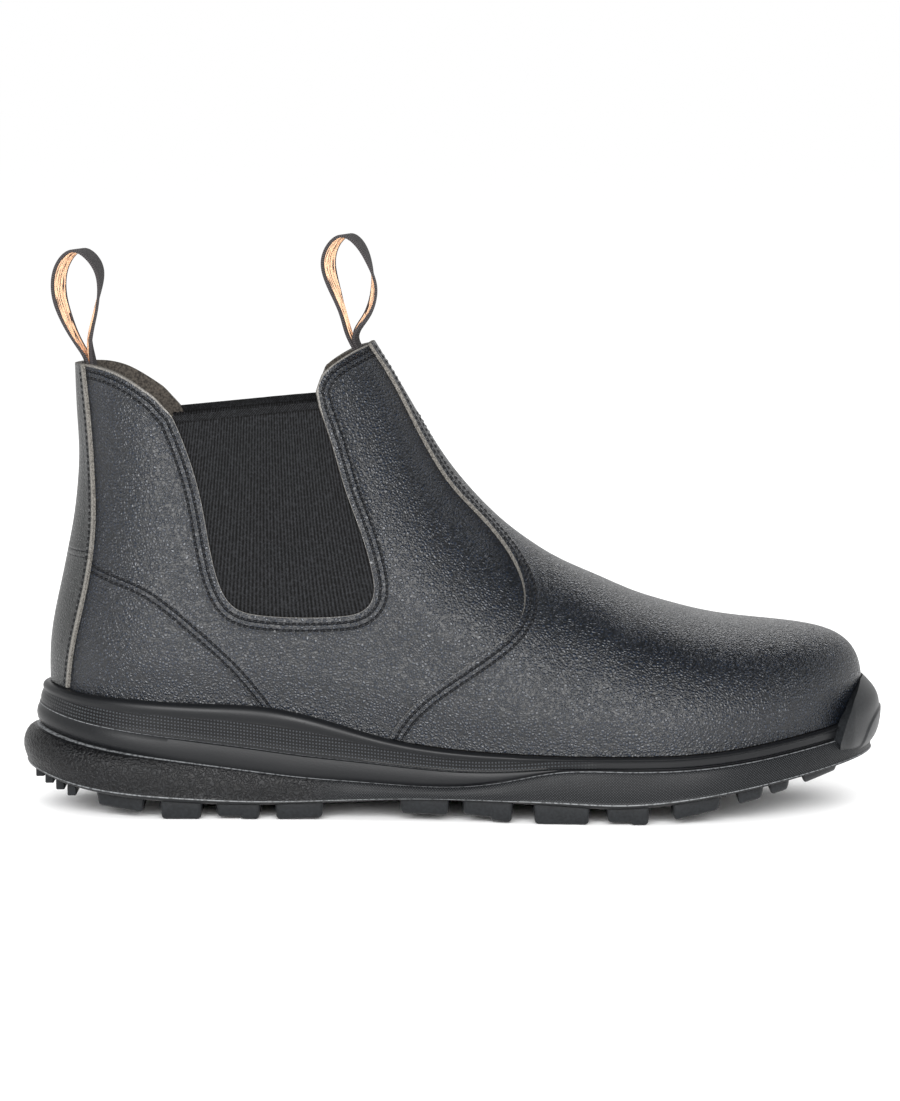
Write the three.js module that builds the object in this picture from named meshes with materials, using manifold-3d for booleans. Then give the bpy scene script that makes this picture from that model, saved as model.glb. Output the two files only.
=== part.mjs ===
import * as THREE from 'three';
import { mergeVertices } from 'three/addons/utils/BufferGeometryUtils.js';
import Module from 'manifold-3d';

// Side gore work boot, right foot, as an assembly of separate solids.
// Millimetres, +X to the toe, +Y to the inner (medial) side, +Z up.
// While it is modelled, x = 0 is the back of the lasted heel and z = 0 the floor.

// Driving dimensions
const lastLength = 287;
const ballWidth = 98;
const shaftWidth = 54;
const collarHeight = 166;
const collarBackHeight = 157;
const toeHeight = 63;
const counterHeight = 60;
const heelLean = 11;
const heelRound = 42;
const toeRound = 72;
const vampSwell = 1.5;
const soleHeight = 44;
const upperWall = 2;
const goreThickness = 1.3;
const goreLap = 8;
const goreDrop = 71;
const goreWidth = 50;
const goreTopHeight = 142;
const goreCentre = 80;
const overlayThickness = 1.2;
const seamGap = 0.3;
const rimRecess = 8;
const rimWidth = 3.8;
const boatWall = 1.5;
const soleFlare = 4.8;
const bumperWidth = 7.6;
const heelKick = 5.6;
const heelBulge = 3.8;
const plateThickness = 2.8;
const insoleThickness = 4.5;
const lugReach = 22;
const lugTaper = 0.8;
const lugNotch = 0.9;
const heelRibWidth = 2.9;
const centreBarWidth = 20;
const loopTapeWidth = 15;
const loopTapeThickness = 1;
const loopHeight = 40;
const loopTwist = 0.2;
const heelRestShare = 0.233;

// How finely the forms are divided
const ringHalf = 23;
const ringLevels = 18;

// Dorsal line, as shares of the last length and of the rise from toe to collar.
// cover is how far down the side the rounding of the ridge reaches, and full is its squareness.
const dorsalRows = [
  { along: 0.39, height: 1.005, cover: 0.56, full: 2.0 },
  { along: 0.43, height: 0.82, cover: 0.6, full: 2.0 },
  { along: 0.47, height: 0.635, cover: 0.66, full: 2.0 },
  { along: 0.51, height: 0.487, cover: 0.74, full: 2.0 },
  { along: 0.55, height: 0.371, cover: 0.83, full: 2.05 },
  { along: 0.6, height: 0.268, cover: 0.93, full: 2.15 },
  { along: 0.65, height: 0.193, cover: 0.98, full: 2.25 },
  { along: 0.7, height: 0.132, cover: 1.0, full: 2.35 },
  { along: 0.76, height: 0.073, cover: 1.0, full: 2.5 },
  { along: 0.82, height: 0.032, cover: 1.0, full: 2.6 },
  { along: 0.88, height: 0.012, cover: 1.0, full: 2.7 },
  { along: 1.0, height: -0.012, cover: 1.0, full: 2.8 },
];

// Back line of the heel, as shares of the collar height and of the heel's lean,
// and the depth over which the back is rounded, as a share of the heel's round.
const heelRows = [
  { height: 0.26, lean: 0.0, round: 1.0 },
  { height: 0.36, lean: 0.03, round: 1.0 },
  { height: 0.43, lean: 0.2, round: 0.97 },
  { height: 0.49, lean: 0.4, round: 0.93 },
  { height: 0.56, lean: 0.62, round: 0.88 },
  { height: 0.62, lean: 0.79, round: 0.82 },
  { height: 0.69, lean: 0.92, round: 0.77 },
  { height: 0.76, lean: 0.98, round: 0.73 },
  { height: 0.84, lean: 0.93, round: 0.7 },
  { height: 0.95, lean: 0.87, round: 0.68 },
];

// Plan of the last: half widths from its centre line, and how far that line bends to the inner side.
const planRows = [
  { along: 0.0, lateral: 0.35, medial: 0.34, curve: 0.0 },
  { along: 0.2, lateral: 0.355, medial: 0.335, curve: 0.0 },
  { along: 0.35, lateral: 0.37, medial: 0.315, curve: 0.0 },
  { along: 0.45, lateral: 0.405, medial: 0.325, curve: 0.005 },
  { along: 0.55, lateral: 0.46, medial: 0.375, curve: 0.015 },
  { along: 0.65, lateral: 0.51, medial: 0.435, curve: 0.03 },
  { along: 0.73, lateral: 0.535, medial: 0.465, curve: 0.045 },
  { along: 0.82, lateral: 0.55, medial: 0.455, curve: 0.065 },
  { along: 1.0, lateral: 0.52, medial: 0.42, curve: 0.095 },
];

// Lines along the side of the sole, as shares of its height at the heel.
const soleRows = [
  { along: 0.0, rim: 1.02, band: 0.85, groove: 0.68, split: 0.345 },
  { along: 0.04, rim: 0.985, band: 0.78, groove: 0.61, split: 0.25 },
  { along: 0.1, rim: 0.958, band: 0.71, groove: 0.535, split: 0.177 },
  { along: 0.18, rim: 0.93, band: 0.637, groove: 0.457, split: 0.135 },
  { along: 0.26, rim: 0.905, band: 0.57, groove: 0.388, split: 0.125 },
  { along: 0.31, rim: 0.85, band: 0.526, groove: 0.349, split: 0.136 },
  { along: 0.37, rim: 0.74, band: 0.486, groove: 0.321, split: 0.156 },
  { along: 0.43, rim: 0.64, band: 0.446, groove: 0.296, split: 0.175 },
  { along: 0.5, rim: 0.578, band: 0.412, groove: 0.29, split: 0.182 },
  { along: 0.56, rim: 0.555, band: 0.415, groove: 0.34, split: 0.171 },
  { along: 0.62, rim: 0.543, band: 0.445, groove: 0.42, split: 0.154 },
  { along: 0.7, rim: 0.541, band: 0.455, groove: 0.432, split: 0.134 },
  { along: 0.78, rim: 0.556, band: 0.47, groove: 0.445, split: 0.187 },
  { along: 0.86, rim: 0.61, band: 0.523, groove: 0.498, split: 0.277 },
  { along: 0.93, rim: 0.677, band: 0.59, groove: 0.565, split: 0.358 },
  { along: 1.0, rim: 0.74, band: 0.65, groove: 0.625, split: 0.435 },
];

// Underside of the tread: flat under heel and forefoot, raised at the heel's edge, arch and toe.
const treadRows = [
  { along: -0.04, rise: 0.25 },
  { along: 0.055, rise: 0.095 },
  { along: 0.12, rise: 0.045 },
  { along: 0.135, rise: 0.0 },
  { along: 0.32, rise: 0.0 },
  { along: 0.34, rise: 0.02 },
  { along: 0.42, rise: 0.065 },
  { along: 0.5, rise: 0.05 },
  { along: 0.575, rise: 0.0 },
  { along: 0.735, rise: 0.0 },
  { along: 0.78, rise: 0.065 },
  { along: 0.86, rise: 0.175 },
  { along: 0.97, rise: 0.34 },
];

// Lugs along both edges of the tread, and the bars between them, as shares of the last length.
// The foot of a notched lug is a little higher behind its middle.
const edgeLugRows = [
  { from: 0.058, to: 0.119, notched: false },
  { from: 0.137, to: 0.19, notched: false },
  { from: 0.205, to: 0.261, notched: true },
  { from: 0.277, to: 0.338, notched: false },
  { from: 0.429, to: 0.491, notched: false },
  { from: 0.505, to: 0.568, notched: true },
  { from: 0.591, to: 0.661, notched: false },
  { from: 0.679, to: 0.733, notched: true },
  { from: 0.759, to: 0.819, notched: false },
  { from: 0.838, to: 0.872, notched: false },
  { from: 0.878, to: 0.905, notched: false },
  { from: 0.92, to: 0.968, notched: false },
];
// Ribs across the rising underside of the heel's kick, as shares of the last length and of the
// sole's height, with their half widths as shares of the ball's width.
const heelRibRows = [
  { along: -0.0145, height: 0.335, half: 0.15 },
  { along: -0.002, height: 0.294, half: 0.18 },
  { along: 0.0125, height: 0.257, half: 0.21 },
  { along: 0.028, height: 0.225, half: 0.235 },
];
const centreBarRows = [
  { from: 0.145, to: 0.185 },
  { from: 0.205, to: 0.261 },
  { from: 0.281, to: 0.315 },
  { from: 0.45, to: 0.485 },
  { from: 0.52, to: 0.56 },
  { from: 0.6, to: 0.65 },
  { from: 0.685, to: 0.73 },
  { from: 0.77, to: 0.81 },
  { from: 0.845, to: 0.88 },
];

// Side levels of each sole piece: the line that a level follows and the one it is mixed with,
// how far it stands out as a share of the rim's or flare's width, and its share of the heel's kick.
const midsoleLevels = [
  { line: 'groove', mix: 'band', share: 0.0, out: 0.58, bulge: 0.65 },
  { line: 'groove', mix: 'band', share: 0.45, out: 0.5, bulge: 1.0 },
  { line: 'groove', mix: 'band', share: 0.92, out: 0.58, bulge: 0.82 },
  { line: 'band', mix: 'rim', share: 0.02, out: 0.86, bulge: 0.5 },
  { line: 'band', mix: 'rim', share: 0.42, out: 0.9, bulge: 0.3 },
  { line: 'band', mix: 'rim', share: 0.62, out: 1.0, bulge: 0.1 },
  { line: 'band', mix: 'rim', share: 0.8, out: 0.97, bulge: 0.0 },
  { line: 'band', mix: 'rim', share: 1.0, out: 0.6, bulge: 0.0 },
];
const outsoleLevels = [
  { line: 'split', mix: 'groove', share: 0.0, out: 0.74, kick: 0.35 },
  { line: 'split', mix: 'groove', share: 0.12, out: 1.0, kick: 0.75 },
  { line: 'split', mix: 'groove', share: 0.45, out: 1.0, kick: 1.0 },
  { line: 'split', mix: 'groove', share: 0.8, out: 0.86, kick: 0.85 },
  { line: 'split', mix: 'groove', share: 1.0, out: 0.64, kick: 0.35 },
];

// Edge of the cut-out in each side that holds the gore, from its back top corner round its foot to
// the front, as shares of the gore's drop and width from its centre.
const goreRows = [
  { drop: 0.02, across: -0.72 },
  { drop: 0.18, across: -0.624 },
  { drop: 0.425, across: -0.52 },
  { drop: 0.67, across: -0.454 },
  { drop: 0.87, across: -0.372 },
  { drop: 0.958, across: -0.27 },
  { drop: 0.99, across: -0.1 },
  { drop: 1.0, across: 0.17 },
  { drop: 0.993, across: 0.45 },
  { drop: 0.967, across: 0.605 },
  { drop: 0.9, across: 0.682 },
  { drop: 0.77, across: 0.674 },
  { drop: 0.573, across: 0.592 },
  { drop: 0.376, across: 0.488 },
  { drop: 0.18, across: 0.406 },
  { drop: -0.035, across: 0.3 },
];

// Edge of the collar, as shares of the last length and of the collar's height at the back or front.
const collarBackRows = [
  { along: 0.015, height: 1.00129 },
  { along: 0.05, height: 1.00446 },
  { along: 0.09, height: 0.98543 },
  { along: 0.132, height: 0.93785 },
];
const collarFrontRows = [
  { along: 0.328, height: 0.9 },
  { along: 0.335, height: 0.932 },
  { along: 0.357, height: 0.964 },
  { along: 0.385, height: 0.988 },
  { along: 0.41, height: 1.0 },
];

// Back edge of the vamp and front edge of the backstay, from the collar down to the sole.
const vampEdgeRows = [
  { height: 1.04, along: 0.366 },
  { height: 0.99, along: 0.389 },
  { height: 0.92, along: 0.416 },
  { height: 0.84, along: 0.44 },
  { height: 0.762, along: 0.465 },
  { height: 0.69, along: 0.493 },
  { height: 0.61, along: 0.535 },
  { height: 0.54, along: 0.566 },
  { height: 0.47, along: 0.581 },
  { height: 0.405, along: 0.568 },
  { height: 0.345, along: 0.524 },
  { height: 0.285, along: 0.474 },
  { height: 0.225, along: 0.436 },
  { height: 0.15, along: 0.412 },
];
const backstayRows = [
  { height: 0.96, along: 0.044 },
  { height: 0.836, along: 0.052 },
  { height: 0.708, along: 0.057 },
  { height: 0.581, along: 0.057 },
  { height: 0.454, along: 0.045 },
  { height: 0.347, along: 0.031 },
  { height: 0.25, along: 0.024 },
];

// Centre lines of the pull loops: steps ahead of the collar's edge as shares of the loop's height.
const rearLoopRows = [
  { ahead: 0.03, up: -0.42 },
  { ahead: 0.015, up: -0.2 },
  { ahead: 0.0, up: 0.02 },
  { ahead: -0.06, up: 0.2 },
  { ahead: -0.19, up: 0.45 },
  { ahead: -0.27, up: 0.7 },
  { ahead: -0.22, up: 0.9 },
  { ahead: -0.05, up: 1.01 },
  { ahead: 0.1, up: 0.93 },
  { ahead: 0.16, up: 0.79 },
  { ahead: 0.14, up: 0.62 },
  { ahead: 0.1, up: 0.48 },
  { ahead: 0.06, up: 0.25 },
  { ahead: 0.037, up: 0.02 },
  { ahead: 0.052, up: -0.2 },
  { ahead: 0.068, up: -0.42 },
];
const frontLoopRows = [
  { ahead: 0.21, up: -0.42 },
  { ahead: 0.077, up: -0.2 },
  { ahead: -0.055, up: 0.02 },
  { ahead: -0.16, up: 0.25 },
  { ahead: -0.29, up: 0.48 },
  { ahead: -0.33, up: 0.67 },
  { ahead: -0.26, up: 0.83 },
  { ahead: -0.13, up: 0.91 },
  { ahead: 0.0, up: 0.83 },
  { ahead: 0.1, up: 0.64 },
  { ahead: 0.14, up: 0.42 },
  { ahead: 0.08, up: 0.2 },
  { ahead: -0.012, up: 0.02 },
  { ahead: 0.121, up: -0.2 },
  { ahead: 0.255, up: -0.42 },
];

const wasm = await Module();
wasm.setup();

const rise = collarHeight - toeHeight;
const ramp = (t) => {
  const s = Math.min(1, Math.max(0, t));
  return s * s * (3 - 2 * s);
};
const mix = (a, b, t) => a + (b - a) * t;

// Smooth curve through one column of a table, straight on past its ends
function spline(rows, at, value) {
  const x = rows.map((row) => row[at]);
  const y = rows.map((row) => row[value]);
  const last = x.length - 1;
  const upper = [0];
  const right = [0];
  for (let i = 1; i < last; i++) {
    const before = x[i] - x[i - 1];
    const after = x[i + 1] - x[i];
    const pull = 6 * ((y[i + 1] - y[i]) / after - (y[i] - y[i - 1]) / before);
    const pivot = 2 * (before + after) - before * upper[i - 1];
    upper.push(after / pivot);
    right.push((pull - before * right[i - 1]) / pivot);
  }
  const bend = new Array(last + 1).fill(0);
  for (let i = last - 1; i > 0; i--) {
    bend[i] = right[i] - upper[i] * bend[i + 1];
  }
  const piece = (t) => {
    let i = 0;
    while (i < last - 1 && t > x[i + 1]) {
      i++;
    }
    const h = x[i + 1] - x[i];
    const a = (x[i + 1] - t) / h;
    const b = (t - x[i]) / h;
    const curve = ((a ** 3 - a) * bend[i] + (b ** 3 - b) * bend[i + 1]) * h * h / 6;
    return a * y[i] + b * y[i + 1] + curve;
  };
  const step = 1e-4;
  return (t) => {
    if (t < x[0]) {
      return y[0] + (t - x[0]) * (piece(x[0] + step) - y[0]) / step;
    }
    if (t > x[last]) {
      return y[last] + (t - x[last]) * (y[last] - piece(x[last] - step)) / step;
    }
    return piece(t);
  };
}

// Straight lines between the rows of a table, level past its ends
function straight(rows, at, value) {
  return (t) => {
    const next = rows.findIndex((row) => row[at] > t);
    if (next === 0) {
      return rows[0][value];
    }
    if (next < 0) {
      return rows[rows.length - 1][value];
    }
    const a = rows[next - 1];
    const b = rows[next];
    return mix(a[value], b[value], (t - a[at]) / (b[at] - a[at]));
  };
}

const dorsal = spline(dorsalRows, 'along', 'height');
const dorsalCover = spline(dorsalRows, 'along', 'cover');
const dorsalFull = spline(dorsalRows, 'along', 'full');
const heelLine = spline(heelRows, 'height', 'lean');
const heelDepth = spline(heelRows, 'height', 'round');
const lateralPlan = spline(planRows, 'along', 'lateral');
const medialPlan = spline(planRows, 'along', 'medial');
const curvePlan = spline(planRows, 'along', 'curve');
const soleCurves = {
  rim: spline(soleRows, 'along', 'rim'),
  band: spline(soleRows, 'along', 'band'),
  groove: spline(soleRows, 'along', 'groove'),
  split: spline(soleRows, 'along', 'split'),
};
const treadCurve = straight(treadRows, 'along', 'rise');

const topLine = (x) => toeHeight + rise * dorsal(x / lastLength);
const soleLine = (name, x) => soleHeight * soleCurves[name](x / lastLength);
const featherLine = (x) => soleLine('rim', x) - rimRecess;
const backLine = (z) => heelLean * heelLine(Math.max(heelRows[0].height, z / collarHeight));
const backDepth = (z) => heelRound * heelDepth(Math.max(heelRows[0].height, z / collarHeight));
const centreLine = (x) => ballWidth * curvePlan(x / lastLength);

// How open the last is at a point of its side view: 1 deep inside, 0 on its outline
const cornerCut = 0.2;
function openness(x, z) {
  const first = dorsalRows[0].along * lastLength;
  const seen = Math.max(first, x);
  const depth = (topLine(seen) - soleLine('rim', seen)) * dorsalCover(seen / lastLength);
  const nearTop = Math.max(0, 1 - (topLine(x) - z) / depth);
  const nearToe = Math.max(0, 1 - (lastLength - x) / toeRound);
  const nearHeel = Math.max(0, 1 - (x - backLine(z)) / backDepth(z));
  const top = 1 - nearTop ** dorsalFull(seen / lastLength);
  const corner = cornerCut * nearTop ** 4 * nearToe ** 6;
  return top * (1 - nearToe ** 2) * (1 - nearHeel ** 2) - corner;
}

// Half width of the last where it is fully open, on the lateral (-1) or the medial (1) side
function fullWidth(x, z, side) {
  const plan = side < 0 ? lateralPlan : medialPlan;
  const foot = ballWidth * plan(x / lastLength);
  const swell = vampSwell * ramp((z - soleLine('rim', x)) / (2 * rimRecess));
  const up = ramp((z - counterHeight) / (collarBackHeight - counterHeight));
  return mix(foot + swell, shaftWidth / 2, up);
}

// Where a ray in the side view leaves the last
const rayCentre = { x: 0.55 * lastLength, z: featherLine(lastLength) };
function leaveLast(angle) {
  const dx = Math.cos(angle);
  const dz = Math.sin(angle);
  let inside = 0;
  let outside = 4;
  while (openness(rayCentre.x + outside * dx, rayCentre.z + outside * dz) > 0) {
    inside = outside;
    outside += 4;
  }
  for (let i = 0; i < 40; i++) {
    const middle = (inside + outside) / 2;
    if (openness(rayCentre.x + middle * dx, rayCentre.z + middle * dz) > 0) {
      inside = middle;
    } else {
      outside = middle;
    }
  }
  return { x: rayCentre.x + inside * dx, z: rayCentre.z + inside * dz };
}

// Rings run from the back of the heel to the front, and climb from the feather edge to the collar
const ringEnds = new Map();
const collarSpare = 5;
const peak = { x: (dorsalRows[0].along - 0.018) * lastLength, z: collarHeight + 2 * collarSpare };
const widestAngle = Math.atan2(peak.z - rayCentre.z, peak.x - rayCentre.x);
function ringEnd(v) {
  if (!ringEnds.has(v)) {
    const low = featherLine(0);
    const high = collarBackHeight + collarSpare;
    const z = mix(low, high, v ** 1.5);
    ringEnds.set(v, {
      heel: { x: backLine(z), z },
      front: leaveLast(widestAngle * v ** 1.7),
    });
  }
  return ringEnds.get(v);
}

function lastPoint(u, v) {
  const { heel, front } = ringEnd(v);
  const s = (1 - Math.cos(u)) / 2;
  const x = mix(heel.x, front.x, s);
  const level = mix(ringEnd(0).heel.z, ringEnd(0).front.z, s);
  const sag = (featherLine(mix(0, lastLength, s)) - level) * (1 - v) ** 3;
  const z = mix(heel.z, front.z, s) + sag;
  const side = Math.sin(u) < 0 ? 1 : -1;
  const open = Math.sqrt(Math.max(0, openness(x, z)));
  const still = Math.abs(Math.sin(u)) < 1e-9;
  const reach = still ? 0 : side * fullWidth(x, z, side) * open;
  return new THREE.Vector3(x, centreLine(x) + reach, z);
}

function lastNormal(u, v) {
  const step = 2e-3;
  const low = Math.max(0, v - step);
  const high = Math.min(1, v + step);
  const along = lastPoint(u + step, v).sub(lastPoint(u - step, v));
  const up = lastPoint(u, high).sub(lastPoint(u, low));
  return along.cross(up).normalize();
}

// A closed manifold from rings of equal count; its first and last ring are closed side to side
function stack(rings) {
  const count = rings[0].length;
  const half = count / 2;
  const vertices = rings.flat().flatMap((p) => [p.x, p.y, p.z]);
  const faces = [];
  for (let k = 0; k < rings.length - 1; k++) {
    for (let i = 0; i < count; i++) {
      const a = k * count + i;
      const b = k * count + (i + 1) % count;
      faces.push(a, b, b + count, a, b + count, a + count);
    }
  }
  const cap = (start, up) => {
    for (let i = 0; i < half; i++) {
      const a = start + i;
      const b = start + i + 1;
      const c = start + (count - i - 1) % count;
      const d = start + (count - i) % count;
      const quad = i === 0 ? [[a, b, c]] : i === half - 1 ? [[a, b, d]] : [[a, b, c], [a, c, d]];
      for (const [p, q, r] of quad) {
        faces.push(...(up ? [p, q, r] : [p, r, q]));
      }
    }
  };
  cap(0, false);
  cap((rings.length - 1) * count, true);
  return new wasm.Manifold(new wasm.Mesh({
    numProp: 3,
    vertProperties: new Float32Array(vertices),
    triVerts: new Uint32Array(faces),
  }));
}

// A closed manifold from loose faces that may all face inwards
function facing(vertices, faces) {
  const build = (order) => new wasm.Manifold(new wasm.Mesh({
    numProp: 3,
    vertProperties: new Float32Array(vertices),
    triVerts: new Uint32Array(order),
  }));
  const solid = build(faces);
  return solid.volume() > 0 ? solid : build([...faces].reverse());
}

function fromGeometry(geometry) {
  geometry.deleteAttribute('normal');
  geometry.deleteAttribute('uv');
  const merged = mergeVertices(geometry, 1e-4);
  return new wasm.Manifold(new wasm.Mesh({
    numProp: 3,
    vertProperties: new Float32Array(merged.attributes.position.array),
    triVerts: new Uint32Array(merged.index.array),
  }));
}

// The last's own surface moved out by a distance, with its top and bottom drawn further
const angles = Array.from({ length: 2 * ringHalf }, (_, i) => Math.PI * i / ringHalf);
function lastForm(out, below, above) {
  const rings = [];
  for (let k = 0; k <= ringLevels; k++) {
    const v = k / ringLevels;
    rings.push(angles.map((u) => lastPoint(u, v).addScaledVector(lastNormal(u, v), out)));
  }
  const lift = (ring, dz) => ring.map((p) => p.clone().setZ(p.z + dz));
  if (below > 0) {
    rings.unshift(lift(rings[0], -below));
  }
  if (above > 0) {
    rings.push(lift(rings[rings.length - 1], above));
  }
  return stack(rings);
}

// A ring around the sole, that far out from the last's outline
function planPoint(u) {
  const x = lastLength * (1 - Math.cos(u)) / 2;
  const side = Math.sin(u) < 0 ? 1 : -1;
  const open = Math.sqrt(Math.max(0, openness(x, featherLine(x))));
  const still = Math.abs(Math.sin(u)) < 1e-9;
  const reach = still ? 0 : side * fullWidth(x, featherLine(x), side) * open;
  return new THREE.Vector2(x, centreLine(x) + reach);
}
function soleRing(height, out) {
  const step = 2e-3;
  return angles.map((u) => {
    const p = planPoint(u);
    const along = planPoint(u + step).sub(planPoint(u - step)).normalize();
    const reach = typeof out === 'function' ? out(p.x) : out;
    return new THREE.Vector3(p.x + along.y * reach, p.y - along.x * reach, height(p.x));
  });
}

// A flat shape of the side view carried through the boot's whole width
function sidePrism(points, from = -ballWidth, to = ballWidth) {
  const shape = new THREE.Shape(points.map(([x, z]) => new THREE.Vector2(x, z)));
  const geometry = new THREE.ExtrudeGeometry(shape, { depth: to - from, bevelEnabled: false });
  geometry.rotateX(Math.PI / 2);
  geometry.translate(0, to, 0);
  return fromGeometry(geometry);
}

function meshOf(name, solid, material) {
  const result = solid.getMesh();
  const geometry = new THREE.BufferGeometry();
  geometry.setAttribute('position', new THREE.BufferAttribute(result.vertProperties, 3));
  geometry.setIndex(new THREE.BufferAttribute(result.triVerts, 1));
  geometry.computeVertexNormals();
  const mesh = new THREE.Mesh(geometry, material);
  mesh.name = name;
  return mesh;
}

const finish = (color, roughness) => new THREE.MeshStandardMaterial({ color, roughness, metalness: 0 });
const leather = finish(0x2a2d33, 0.45);
const elastic = finish(0x17181a, 0.85);
const webbing = finish(0x2b2624, 0.8);
const cushionedSole = finish(0x2b2c2e, 0.55);
const treadRubber = finish(0x232425, 0.6);
const footbedCloth = finish(0x3a3634, 0.9);

// The cut that shapes the collar and opens both sides for the gores
const goreCurve = new THREE.SplineCurve(goreRows.map((row) => new THREE.Vector2(
  goreCentre + goreWidth * row.across,
  goreTopHeight - goreDrop * row.drop,
)));
function goreOutline(grow) {
  const steps = 26;
  return Array.from({ length: steps + 1 }, (_, i) => {
    const p = goreCurve.getPoint(i / steps);
    const t = goreCurve.getTangent(i / steps);
    return [p.x + grow * t.y, p.y - grow * t.x];
  });
}
function collarCut() {
  const high = collarHeight + 4 * collarSpare;
  const place = (tall) => (row) => [row.along * lastLength, row.height * tall];
  const back = collarBackRows.map(place(collarBackHeight));
  const front = collarFrontRows.map(place(collarHeight));
  const outer = [[0.6 * lastLength, high], [-heelRound, high], [-heelRound, back[0][1]]];
  const lead = [[front[front.length - 1][0] + 2 * heelRound, front[front.length - 1][1]]];
  return sidePrism([...outer, ...back, ...goreOutline(0), ...front, ...lead]);
}

// Everything below the sole's rim, which keeps the outer panels above it
function belowRim(above) {
  const steps = 22;
  const line = Array.from({ length: steps + 1 }, (_, i) => {
    const x = mix(-0.1, 1.1, i / steps) * lastLength;
    return [x, soleLine('rim', x) + above];
  });
  return sidePrism([...line, [1.1 * lastLength, -rimWidth], [-0.1 * lastLength, -rimWidth]]);
}

const cut = collarCut();
function makeUpper() {
  const hollow = lastForm(-upperWall, 4, 2 * collarSpare);
  return lastForm(0, 0, 0).subtract(hollow).subtract(cut);
}

function makePanel(points) {
  const outer = lastForm(seamGap + overlayThickness, 0, 0);
  const inner = lastForm(seamGap, 4, 2 * collarSpare);
  return outer.subtract(inner).intersect(sidePrism(points)).subtract(cut).subtract(belowRim(2 * seamGap));
}
function edgePoints(rows, count) {
  const line = spline([...rows].reverse(), 'height', 'along');
  const high = rows[0].height;
  const low = rows[rows.length - 1].height;
  return Array.from({ length: count + 1 }, (_, i) => {
    const height = mix(high, low, i / count);
    return [line(height) * lastLength, height * collarHeight];
  });
}
function makeVamp() {
  const edge = edgePoints(vampEdgeRows, 20);
  const far = lastLength + heelRound;
  return makePanel([...edge, [edge[edge.length - 1][0], -heelRound], [far, -heelRound],
    [far, 2 * collarHeight], [edge[0][0] - 2, 2 * collarHeight]]);
}
function makeBackstay() {
  const edge = edgePoints(backstayRows, 9).reverse();
  const top = edge[edge.length - 1];
  return makePanel([[-heelRound, 0], [edge[0][0], 0], ...edge, [top[0], 2 * collarHeight],
    [-heelRound, 2 * collarHeight]]);
}

const goreFace = upperWall + seamGap;
const goreShell = lastForm(-goreFace, 0, 0)
  .subtract(lastForm(-goreFace - goreThickness, 4, 2 * collarSpare));
function makeGore(side) {
  const from = side < 0 ? -ballWidth : 0;
  return goreShell.intersect(sidePrism(goreOutline(goreLap), from, from + ballWidth));
}

function levelHeight(level) {
  return (x) => mix(soleLine(level.line, x), soleLine(level.mix, x), level.share);
}
const innerPlane = (x) => soleLine('split', x) + plateThickness;
const kickShape = (x) => ramp(1 - x / (0.2 * lastLength));
const boatEdge = seamGap + boatWall;

function makeMidsole() {
  const rings = [
    soleRing((x) => innerPlane(x) + seamGap, boatEdge),
    soleRing((x) => soleLine('groove', x) + seamGap, boatEdge),
  ];
  for (const level of midsoleLevels) {
    const lift = level.share === 0 ? seamGap : 0;
    const out = (x) => level.out * rimWidth + level.bulge * heelBulge * kickShape(x);
    rings.push(soleRing((x) => levelHeight(level)(x) + lift, out));
  }
  rings.push(soleRing((x) => soleLine('rim', x), seamGap));
  rings.push(soleRing((x) => featherLine(x) - seamGap, seamGap));
  return stack(rings);
}

function makeLug(x0, x1, side, raised) {
  const at = (x, out) => {
    const u = Math.acos(1 - 2 * x / lastLength) * -side;
    const p = planPoint(u);
    return p.y + side * out;
  };
  const deep = 0.75 * plateThickness;
  const row = (a, b, out, reach, height) => [
    [a, at(a, out), height(a)],
    [b, at(b, out), height(b)],
    [b, at(b, out) - side * reach, height(b)],
    [a, at(a, out) - side * reach, height(a)],
  ];
  const floor = (x) => soleHeight * treadCurve(x / lastLength) + raised;
  const top = row(x0, x1, 0.62 * soleFlare, lugReach, (x) => soleLine('split', x) + deep);
  const low = row(x0 + lugTaper, x1 - lugTaper, 0.62 * soleFlare - lugTaper,
    lugReach - 2 * lugTaper, floor);
  return block(low, top);
}
function makeBar(x0, x1) {
  const half = centreBarWidth / 2;
  const floor = (x) => soleHeight * treadCurve(x / lastLength);
  const row = (a, b, width, height) => [
    [a, centreLine(a) - width, height(a)],
    [b, centreLine(b) - width, height(b)],
    [b, centreLine(b) + width, height(b)],
    [a, centreLine(a) + width, height(a)],
  ];
  const deep = 0.75 * plateThickness;
  const shrink = ramp((x0 / lastLength - 0.7) / 0.25) * 0.4 * half;
  const top = row(x0, x1, half - shrink, (x) => soleLine('split', x) + deep);
  const low = row(x0 + lugTaper, x1 - lugTaper, half - shrink - lugTaper, floor);
  return block(low, top);
}
function makeHeelRib(row) {
  const x = row.along * lastLength;
  const z = row.height * soleHeight;
  const half = row.half * ballWidth;
  const outline = (thick, wide, height) => [
    [x - thick / 2, -wide, height],
    [x + thick / 2, -wide, height],
    [x + thick / 2, wide, height],
    [x - thick / 2, wide, height],
  ];
  const low = outline(heelRibWidth, half - lugTaper, z - heelRibWidth);
  return block(low, outline(heelRibWidth, half, z + plateThickness));
}
function block(low, top) {
  const vertices = [...low, ...top].flat();
  const faces = [0, 2, 1, 0, 3, 2, 4, 5, 6, 4, 6, 7];
  for (let i = 0; i < 4; i++) {
    const j = (i + 1) % 4;
    faces.push(i, j, j + 4, i, j + 4, i + 4);
  }
  return facing(vertices, faces);
}

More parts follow.
